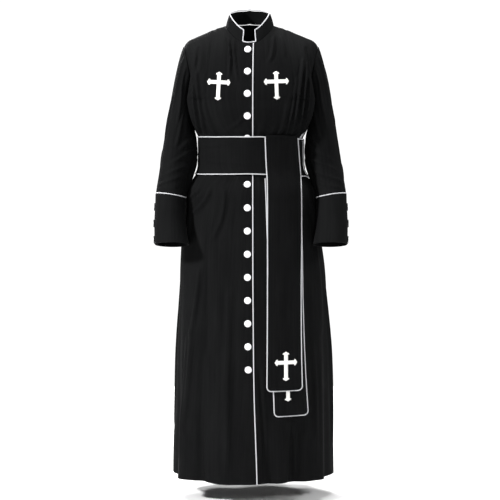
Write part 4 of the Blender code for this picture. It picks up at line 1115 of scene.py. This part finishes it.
# A button's half section, as shares of its radius and height
BUTTON_SHAPE = (
    (0.00, 1.00), (0.20, 0.985), (0.42, 0.93), (0.62, 0.83), (0.78, 0.69), (0.89, 0.53), (0.955, 0.40),
    (0.99, 0.28), (1.00, 0.20), (0.985, 0.11), (0.93, 0.04), (0.84, 0.00), (0.00, 0.00),
)
BUTTON_TURNS = 40


def add_buttons(name, places, radius, paint):
    """Turned, domed buttons, each on its seat."""
    mesh = bmesh.new()
    for seat, normal in places:
        turn = Vector(normal).to_track_quat("Z", "Y").to_matrix()
        base = Vector(seat + normal * BUTTON_GAP)
        rings = []
        for out, up in BUTTON_SHAPE:
            ring = []
            for step in range(BUTTON_TURNS if out > 0 else 1):
                angle = step * 2 * math.pi / BUTTON_TURNS
                x, y = out * radius * math.cos(angle), out * radius * math.sin(angle)
                ring.append(mesh.verts.new(base + turn @ Vector((x, y, up * BUTTON_HEIGHT))))
            rings.append(ring)
        for upper, lower in zip(rings, rings[1:]):
            for step in range(BUTTON_TURNS):
                after = (step + 1) % BUTTON_TURNS
                corners = [upper[step % len(upper)], lower[step % len(lower)],
                           lower[after % len(lower)], upper[after % len(upper)]]
                mesh.faces.new(list(dict.fromkeys(corners)))
    return add_piece(name, mesh_data(name, mesh), paint)


def mesh_data(name, mesh):
    """The finished, smooth data of a bmesh."""
    bmesh.ops.recalc_face_normals(mesh, faces=list(mesh.faces))
    data = bpy.data.meshes.new(name)
    mesh.to_mesh(data)
    mesh.free()
    data.shade_smooth()
    return data


def add_front_buttons(paint):
    heights = np.concatenate([np.linspace(*run) for run in BUTTON_RUNS])
    levels = front_level(-0.010, heights)
    x = smooth(PLACKET, "level", "x", levels) - BUTTON_FROM_EDGE
    seats, normals = dressed(angle_at(x, levels), levels, "front")
    seats = seats + normals * PLACKET_LIFT
    buttons = add_buttons("front_buttons", list(zip(seats, normals)), BUTTON_RADIUS, paint)
    stand_for(buttons, "button", *[f"button_front_{number:02d}" for number in range(1, len(heights) + 1)])
    return buttons


# Soft creases of the band, from one turn and height to the other
BandCrease = namedtuple("BandCrease", "turn0 z0 turn1 z1 width height")
BAND_CREASES = (
    BandCrease(-76, -0.352, -24, -0.344, 0.0070, 0.0010),
    BandCrease(-60, -0.392, 4, -0.402, 0.0080, 0.0011),
    BandCrease(-110, -0.372, -52, -0.378, 0.0070, 0.0009),
    BandCrease(2, -0.356, 26, -0.350, 0.0060, 0.0008),
    BandCrease(-168, -0.350, -112, -0.356, 0.0080, 0.0011),
    BandCrease(-214, -0.396, -140, -0.388, 0.0080, 0.0012),
    BandCrease(-258, -0.354, -196, -0.362, 0.0075, 0.0011),
    BandCrease(-288, -0.400, -236, -0.404, 0.0070, 0.0010),
)


def band_relief(turned, height):
    """Small soft creases across the band."""
    relief = np.zeros(turned.shape)
    for crease in BAND_CREASES:
        share = (turned - crease.turn0) / (crease.turn1 - crease.turn0)
        away = height - crease.z0 - (crease.z1 - crease.z0) * share
        relief = relief + crease.height * ridge(away, crease.width) * taper(share)
    return relief


# The band's creases and cords stop this far round from its free end, where it runs in under that end. The
# cord on the free end stops short of the other two, in gaps, and stands out by a share of the cloth.
BAND_OPEN_TURN = 357.0
BAND_END_CORD_INSET = 2.2
BAND_END_CORD_OUT = 0.75


def add_band(cloth, white):
    turned = np.linspace(BAND_END, BAND_TUCKED_END - 360.0, BAND_COLUMNS)
    heights = np.linspace(BAND_TOP - BAND_HEM, BAND_BOTTOM + BAND_HEM, BAND_ROWS)
    turned_grid, height_grid = np.meshgrid(turned, heights)
    relief = band_relief(turned_grid, height_grid) * (turned_grid > BAND_END - BAND_OPEN_TURN)
    outer = band_point(turned_grid, height_grid, BAND_CLOTH + relief)
    inner = band_point(turned_grid, height_grid, relief)
    band = add_cloth("band_cloth", outer, inner, cloth)
    stand_for(band, "cloth", "band")
    turned = turned[turned > BAND_END - BAND_OPEN_TURN]
    cords = []
    for name, height in (("top", BAND_TOP), ("bottom", BAND_BOTTOM)):
        line = band_point(turned, np.full(turned.shape, height), BAND_CLOTH / 2)
        cords.append(add_cord(f"band_{name}_cord", line, white))
        stand_for(cords[-1], "piping", f"piping_band_{name}")
    inset = BAND_END_CORD_INSET * PIPING_GAP
    ends = np.linspace(BAND_TOP - inset, BAND_BOTTOM + inset, BAND_END_POINTS)
    beside = np.full(ends.shape, BAND_END + math.degrees(PIPING_GAP / SECTIONS[-7].front))
    cords.append(add_cord("band_end_cord", band_point(beside, ends, BAND_CLOTH * BAND_END_CORD_OUT), white))
    stand_for(cords[-1], "piping", "piping_band_end")


# The keeper's point: shares of its half width at shares of the way from its tip to its foot
KEEPER_OUTLINE = ((0.0, 0.12), (0.33, 0.62), (0.66, 1.0), (1.0, 1.0))
KEEPER_FACES = (0.0022, 0.0008)
KEEPER_FOOT = 0.0009


def add_keeper(paint):
    """The pointed white tab that stands on the band's top edge."""
    foot = float(band_z(BAND_TOP, KEEPER_ANGLE)) + PIPING_GAP + KEEPER_FOOT
    heights = np.linspace(KEEPER_TOP, foot, KEEPER_ROWS)
    widths = np.interp(np.linspace(0, 1, KEEPER_ROWS), *zip(*KEEPER_OUTLINE))
    spread = np.degrees(KEEPER_HALF_WIDTH / SECTIONS[-5].half_width)
    angles = KEEPER_ANGLE + spread * widths[:, None] * np.linspace(-1.0, 1.0, KEEPER_COLUMNS)
    levels = np.repeat(heights[:, None] - UNDERARM_Z, KEEPER_COLUMNS, axis=1)
    outer, inner = (off_front(angles, levels, lift) for lift in KEEPER_FACES)
    keeper = add_cloth("keeper_cloth", outer, inner, paint)
    stand_for(keeper, "piping", "band_keeper")


def tail_edge(rows, top, step, grown=0.0):
    """Heights down one edge of a tail and round its lower corner, and how far in the edge is at each."""
    corner_z = rows[0].z + TAIL_CORNER
    heights = np.linspace(top, corner_z, int((top - corner_z) / step) + 1)
    turns = np.radians(np.linspace(0.0, 90.0, 13)[1:])
    corner = corner_z - (TAIL_CORNER + grown) * np.sin(turns)
    insets = TAIL_CORNER - (TAIL_CORNER + grown) * np.cos(turns)
    return np.concatenate([heights, corner]), np.concatenate([np.full(heights.shape, -grown), insets])


def tail_turn(rows, across):
    """The top of the front tail: it turns over the band's upper edge and ends behind it."""
    straight = np.linspace(TAIL_TURN_Z, BAND_TOP, 4)[:-1]
    bend = np.radians(np.linspace(0.0, 180.0, 15)[:-1])
    faces = []
    for face in TAIL_TURN:
        over = rows[-1].lift + face.cloth
        z = np.concatenate([straight, BAND_TOP + face.crest * np.sin(bend)])
        arch = (face.foot + over) / 2 - (over - face.foot) / 2 * np.cos(bend)
        lift = np.concatenate([np.full(straight.shape, face.foot), arch])
        z, lift = (np.repeat(values[:, None], len(across), axis=1) for values in (z, lift))
        faces.append(strap_point(rows, z, np.repeat(across[None], len(z), axis=0), lift))
    return faces


# How each tail is shown: the heights where its cloth and its piping start, how far it waves, its cross and
# the pieces that it rests on
Strap = namedtuple("Strap", "name rows top piping_top wave cross rests_on")
BACK_STRAP = Strap("tail_back", BACK_TAIL, -0.424, -0.4435, 0.0, BACK_TAIL_CROSS,
                   ["front_left_cloth", "band_cloth"])
FRONT_STRAP = Strap("tail_front", FRONT_TAIL, BAND_TOP, BAND_TOP, 0.0007, FRONT_TAIL_CROSS, ["band_cloth"])
WAVE_START = 0.1
TAIL_PIPING_OUT = 0.0002


def tail_roll(strap, z, share):
    """A tail hangs with a slight lengthwise roll, and a bow between its edges that starts at its top."""
    bow = np.sin(np.pi * np.clip(share, 0.0, 1.0))
    roll = strap.wave * (0.5 + 0.5 * np.sin(z * 9.0 + 2.4 * share)) * bow
    return roll * ease((strap.top - z) / WAVE_START)


def add_tail(strap, cloth, white):
    rows = strap.rows
    heights, insets = tail_edge(rows, strap.top, TAIL_STEP)
    across = np.linspace(0.0, 1.0, TAIL_COLUMNS)
    inset_share = (insets / tail_width(rows, heights))[:, None]
    share = inset_share + (1 - 2 * inset_share) * across
    z = np.repeat(heights[:, None], len(across), axis=1)
    roll = tail_roll(strap, z, share)
    outer = tail_point(rows, z, share, TAIL_CLOTH + roll)
    inner = tail_point(rows, z, share, roll)
    if strap is FRONT_STRAP:
        over, under = tail_turn(rows, across)
        outer, inner = np.concatenate([over, outer]), np.concatenate([under, inner])
    tail = add_cloth(f"{strap.name}_cloth", outer, inner, cloth)
    stand_for(tail, "cloth", strap.name)
    heights, insets = tail_edge(rows, strap.piping_top, TAIL_STEP, PIPING_GAP + TAIL_PIPING_OUT)
    share = insets / tail_width(rows, heights)
    left = tail_point(rows, heights, share, TAIL_CLOTH / 2)
    right = tail_point(rows, heights, 1 - share, TAIL_CLOTH / 2)
    cord = add_cord(f"{strap.name}_cord", [*left, *right[::-1]], white)
    stand_for(cord, "piping", f"piping_{strap.name}")


def edge_distance(corners, outline):
    """How far each point is from the nearest edge of an outline."""
    best = np.full(len(corners), 1.0)
    for start, end in zip(outline, np.roll(outline, -1, axis=0)):
        run = end - start
        share = np.clip((corners - start) @ run / (run @ run), 0.0, 1.0)
        best = np.minimum(best, np.linalg.norm(corners - start - share[:, None] * run, axis=1))
    return best


# The crosses are padded: their edges have this share of the thickness, which is full a little further in
PAD_EDGE = 0.35
PAD_REACH = 0.0016
CROSS_OFF = SEAM_GAP + 0.0001


def add_cross(name, cross, place, paint):
    """A padded satin applique laid on the surface that place gives."""
    outline = np.array(cross_outline(cross))
    mesh = bmesh.new()
    mesh.faces.new([mesh.verts.new((u, v, 0.0)) for u, v in outline])
    for axis, limits in ((0, (-cross.across, cross.across)), (1, (-cross.down, cross.up))):
        for cut in np.arange(limits[0] + CROSS_CELL, limits[1], CROSS_CELL):
            plane = [0.0, 0.0, 0.0]
            plane[axis] = float(cut)
            direction = [0.0, 0.0, 0.0]
            direction[axis] = 1.0
            geometry = [*mesh.verts, *mesh.edges, *mesh.faces]
            bmesh.ops.bisect_plane(mesh, geom=geometry, plane_co=plane, plane_no=direction)
    grown = bmesh.ops.extrude_face_region(mesh, geom=list(mesh.faces), use_keep_orig=True)
    for corner in grown["geom"]:
        if isinstance(corner, bmesh.types.BMVert):
            corner.co.z = 1.0
    flat = np.array([tuple(corner.co) for corner in mesh.verts])
    depth = edge_distance(flat[:, :2], outline)
    pad = PAD_EDGE + (1 - PAD_EDGE) * (1 - np.exp(-((depth / PAD_REACH) ** 2)))
    lift = CROSS_OFF + CROSS_THICK * flat[:, 2] * pad
    uv_layer = mesh.loops.layers.uv.new("threads")
    for face in mesh.faces:
        for loop in face.loops:
            loop[uv_layer].uv = (loop.vert.co.x, loop.vert.co.y)
    c, s = math.cos(math.radians(cross.lean)), math.sin(math.radians(cross.lean))
    across = cross.x + flat[:, 0] * c + flat[:, 1] * s
    up = cross.z - flat[:, 0] * s + flat[:, 1] * c
    for corner, point in zip(mesh.verts, place(across, up, lift)):
        corner.co = point
    data = mesh_data(name, mesh)
    data.set_sharp_from_angle(angle=math.radians(CROSS_SHARP_ANGLE))
    piece = add_piece(f"{name}_satin", data, paint)
    stand_for(piece, "cross", name)
    return piece


def on_chest(x, z, lift):
    level = front_level(x, z)
    points, normals = dressed(angle_at(x, level), level, "front")
    return points + normals * lift[:, None]


def on_tail(strap):
    """The surface of a tail, for its cross."""
    def place(x, z, lift):
        share = (x - smooth(strap.rows, "z", "inner_x", z)) / tail_width(strap.rows, z)
        return tail_point(strap.rows, z, share, TAIL_CLOTH + tail_roll(strap, z, share) + lift)
    return place


class Paint:
    """A new material with its nodes, its links and its shader."""

    def __init__(self, name, roughness, specular, sheen):
        self.material = bpy.data.materials.new(name)
        self.material.use_nodes = True
        self.nodes, self.links = self.material.node_tree.nodes, self.material.node_tree.links
        self.shader = self.nodes["Principled BSDF"]
        self.shader.inputs["Roughness"].default_value = roughness
        self.shader.inputs["Specular IOR Level"].default_value = specular
        self.shader.inputs["Sheen Weight"].default_value = sheen
        self.shader.inputs["Sheen Roughness"].default_value = SHEEN_ROUGHNESS

    def texture(self, kind, scale):
        """A texture over the threads' UV map, which is in metres and is scaled."""
        uv = self.nodes.new("ShaderNodeUVMap")
        uv.uv_map = "threads"
        mapping = self.nodes.new("ShaderNodeMapping")
        mapping.inputs["Scale"].default_value = scale
        made = self.nodes.new(kind)
        made.inputs["Scale"].default_value = 1.0
        self.links.new(uv.outputs["UV"], mapping.inputs["Vector"])
        self.links.new(mapping.outputs["Vector"], made.inputs["Vector"])
        return made

    def noise(self, scale, detail):
        made = self.texture("ShaderNodeTexNoise", scale)
        made.inputs["Detail"].default_value = detail
        return made.outputs["Fac"]

    def twill(self, scale):
        """Slanting bands."""
        made = self.texture("ShaderNodeTexWave", scale)
        made.bands_direction = "DIAGONAL"
        return made.outputs["Fac"]

    def joined(self, kind, first, second):
        """The two values joined by a math node."""
        made = self.nodes.new("ShaderNodeMath")
        made.operation = kind
        for socket, value in zip(made.inputs, (first, second)):
            if isinstance(value, float):
                socket.default_value = value
            else:
                self.links.new(value, socket)
        return made.outputs["Value"]

    def scaled(self, value, factor):
        return self.joined("MULTIPLY", value, factor)

    def summed(self, first, second):
        return self.joined("ADD", first, second)

    def colour(self, factor, low, high):
        """The colour goes from low to high over the middle half of the factor."""
        ramp = self.nodes.new("ShaderNodeValToRGB")
        for stop, colour, position in zip(ramp.color_ramp.elements, (low, high), (0.25, 0.75)):
            stop.color = colour
            stop.position = position
        self.links.new(factor, ramp.inputs["Fac"])
        self.links.new(ramp.outputs["Color"], self.shader.inputs["Base Color"])

    def rough(self, factor, share, least):
        """The roughness is the least value and a share of the factor."""
        self.links.new(self.summed(self.scaled(factor, share), least), self.shader.inputs["Roughness"])

    def bump(self, height, distance, strength):
        bump = self.nodes.new("ShaderNodeBump")
        bump.inputs["Distance"].default_value = distance
        bump.inputs["Strength"].default_value = strength
        self.links.new(height, bump.inputs["Height"])
        self.links.new(bump.outputs["Normal"], self.shader.inputs["Normal"])


def suiting():
    """Fine black suiting: a steep twill, slightly uneven lengthwise threads and a soft sheen."""
    paint = Paint("cloth_suiting", 0.75, 0.025, 0.005)
    twill = paint.twill((330.0, 190.0, 0.0))
    threads = paint.noise((230.0, 5.0, 0.0), 3.0)
    patches = paint.noise((14.0, 6.0, 0.0), 3.0)
    shade = paint.summed(paint.scaled(threads, 0.55), paint.scaled(patches, 0.45))
    paint.colour(shade, CLOTH_DARK, CLOTH_LIGHT)
    paint.rough(threads, 0.2, 0.64)
    paint.bump(paint.summed(paint.scaled(twill, 0.6), threads), 0.00035, 0.5)
    return paint.material


def corded():
    """White piping: a twisted cord."""
    paint = Paint("piping_cord", 0.6, 0.35, 0.15)
    twist = paint.twill((0.3142, 300.0, 0.0))
    grain = paint.noise((6.0, 900.0, 0.0), 2.0)
    paint.colour(grain, CORD_SHADE, CORD_WHITE)
    paint.bump(paint.summed(twist, paint.scaled(grain, 0.4)), 0.0003, 0.6)
    return paint.material


def satin():
    """White satin stitch of the crosses, its threads lying across."""
    paint = Paint("cross_satin", 0.42, 0.45, 0.25)
    threads = paint.noise((90.0, 1900.0, 0.0), 2.0)
    paint.colour(threads, SATIN_SHADE, SATIN_WHITE)
    paint.rough(threads, 0.3, 0.28)
    paint.bump(threads, 0.0002, 0.5)
    return paint.material


def pressed_button():
    """Glossy white buttons with faintly uneven gloss."""
    paint = Paint("button_gloss", 0.25, 0.5, 0.0)
    place = paint.nodes.new("ShaderNodeTexCoord")
    cloud = paint.nodes.new("ShaderNodeTexNoise")
    cloud.inputs["Scale"].default_value = 160.0
    paint.links.new(place.outputs["Object"], cloud.inputs["Vector"])
    paint.colour(cloud.outputs["Fac"], BUTTON_SHADE, BUTTON_WHITE)
    paint.rough(cloud.outputs["Fac"], 0.2, 0.14)
    paint.bump(cloud.outputs["Fac"], 0.0002, 0.2)
    return paint.material


def floor_paint():
    paint = Paint("pale_floor", 0.9, 0.1, 0.0)
    paint.shader.inputs["Base Color"].default_value = FLOOR_WHITE
    return paint.material


# Studio
CAMERA_PLACE = (-0.003, -4.5, -0.361)
CAMERA_DOWN = 3.7507
CAMERA_LENS = 109.83
FLOOR_Z = -1.385
FLOOR_RADIUS = 2.1
FLOOR_TURNS = 96
WORLD_LIGHT = 0.14
WORLD_SEEN = 1.1

Lamp = namedtuple("Lamp", "name place target size power")
BODY_MIDDLE = (0.0, 0.0, -0.6)
LAMPS = (
    Lamp("key", (-3.2, -1.7, 1.3), BODY_MIDDLE, 0.45, 260.0),
    Lamp("fill", (1.2, -3.6, 0.9), BODY_MIDDLE, 1.0, 50.0),
    Lamp("back", (-1.6, 3.0, 1.5), BODY_MIDDLE, 0.9, 130.0),
    Lamp("side", (3.2, -0.4, 1.0), BODY_MIDDLE, 1.0, 60.0),
    Lamp("floor", (0.0, 0.6, 3.6), (0.0, 0.9, FLOOR_Z), 3.0, 330.0),
)


def add_stage():
    """A pale round floor; past its edge the camera sees the white world."""
    turns = np.arange(FLOOR_TURNS) * 2 * math.pi / FLOOR_TURNS
    points = [(FLOOR_RADIUS * math.cos(turn), FLOOR_RADIUS * math.sin(turn), FLOOR_Z) for turn in turns]
    data = bpy.data.meshes.new("floor")
    data.from_pydata(points, [], [list(range(FLOOR_TURNS))])
    data.materials.append(floor_paint())
    floor = bpy.data.objects.new("floor", data)
    bpy.context.scene.collection.objects.link(floor)


def add_world():
    """A white studio that lights the cloth softly and looks white behind it."""
    world = bpy.data.worlds.new("studio")
    world.use_nodes = True
    nodes, links = world.node_tree.nodes, world.node_tree.links
    sky = nodes["Background"]
    sky.inputs["Color"].default_value = (1.0, 1.0, 1.0, 1.0)
    path = nodes.new("ShaderNodeLightPath")
    strength = nodes.new("ShaderNodeMapRange")
    strength.inputs["To Min"].default_value = WORLD_LIGHT
    strength.inputs["To Max"].default_value = WORLD_SEEN
    links.new(path.outputs["Is Camera Ray"], strength.inputs["Value"])
    links.new(strength.outputs["Result"], sky.inputs["Strength"])
    bpy.context.scene.world = world


def add_light(lamp):
    light = bpy.data.lights.new(lamp.name, "AREA")
    light.shape = "DISK"
    light.size = lamp.size
    light.energy = lamp.power
    made = bpy.data.objects.new(lamp.name, light)
    bpy.context.scene.collection.objects.link(made)
    made.location = lamp.place
    made.rotation_euler = (Vector(lamp.target) - Vector(lamp.place)).to_track_quat("-Z", "Y").to_euler()


def add_studio():
    scene = bpy.context.scene
    lens = bpy.data.cameras.new("camera")
    lens.lens = CAMERA_LENS
    lens.clip_end = 50.0
    camera = bpy.data.objects.new("camera", lens)
    scene.collection.objects.link(camera)
    camera.location = CAMERA_PLACE
    camera.rotation_euler = (math.radians(90.0 - CAMERA_DOWN), 0.0, 0.0)
    scene.camera = camera
    add_world()
    scene.view_settings.view_transform = "Standard"
    for lamp in LAMPS:
        add_light(lamp)
    add_stage()


def build():
    cloth, white, satin_white, button_white = suiting(), corded(), satin(), pressed_button()
    panels = {name: add_panel(name, first, last, cloth) for name, first, last in PANELS}
    placket_cord = add_placket_cord(white)
    front_buttons = add_front_buttons(button_white)
    chest_right = add_cross("cross_chest_right", CHEST_CROSS_RIGHT, on_chest, satin_white)
    chest_left = add_cross("cross_chest_left", CHEST_CROSS_LEFT, on_chest, satin_white)
    add_collar(cloth, white)
    add_sleeve("left", LEFT_SLEEVE, cloth, white, button_white)
    add_sleeve("right", RIGHT_SLEEVE, cloth, white, button_white)
    add_band(cloth, white)
    add_keeper(white)
    straps = (BACK_STRAP, FRONT_STRAP)
    crosses = [add_cross(f"cross_{strap.name}", strap.cross, on_tail(strap), satin_white)
               for strap in straps]
    for strap, cross in zip(straps, crosses):
        add_tail(strap, cloth, white)


add_studio()
build()
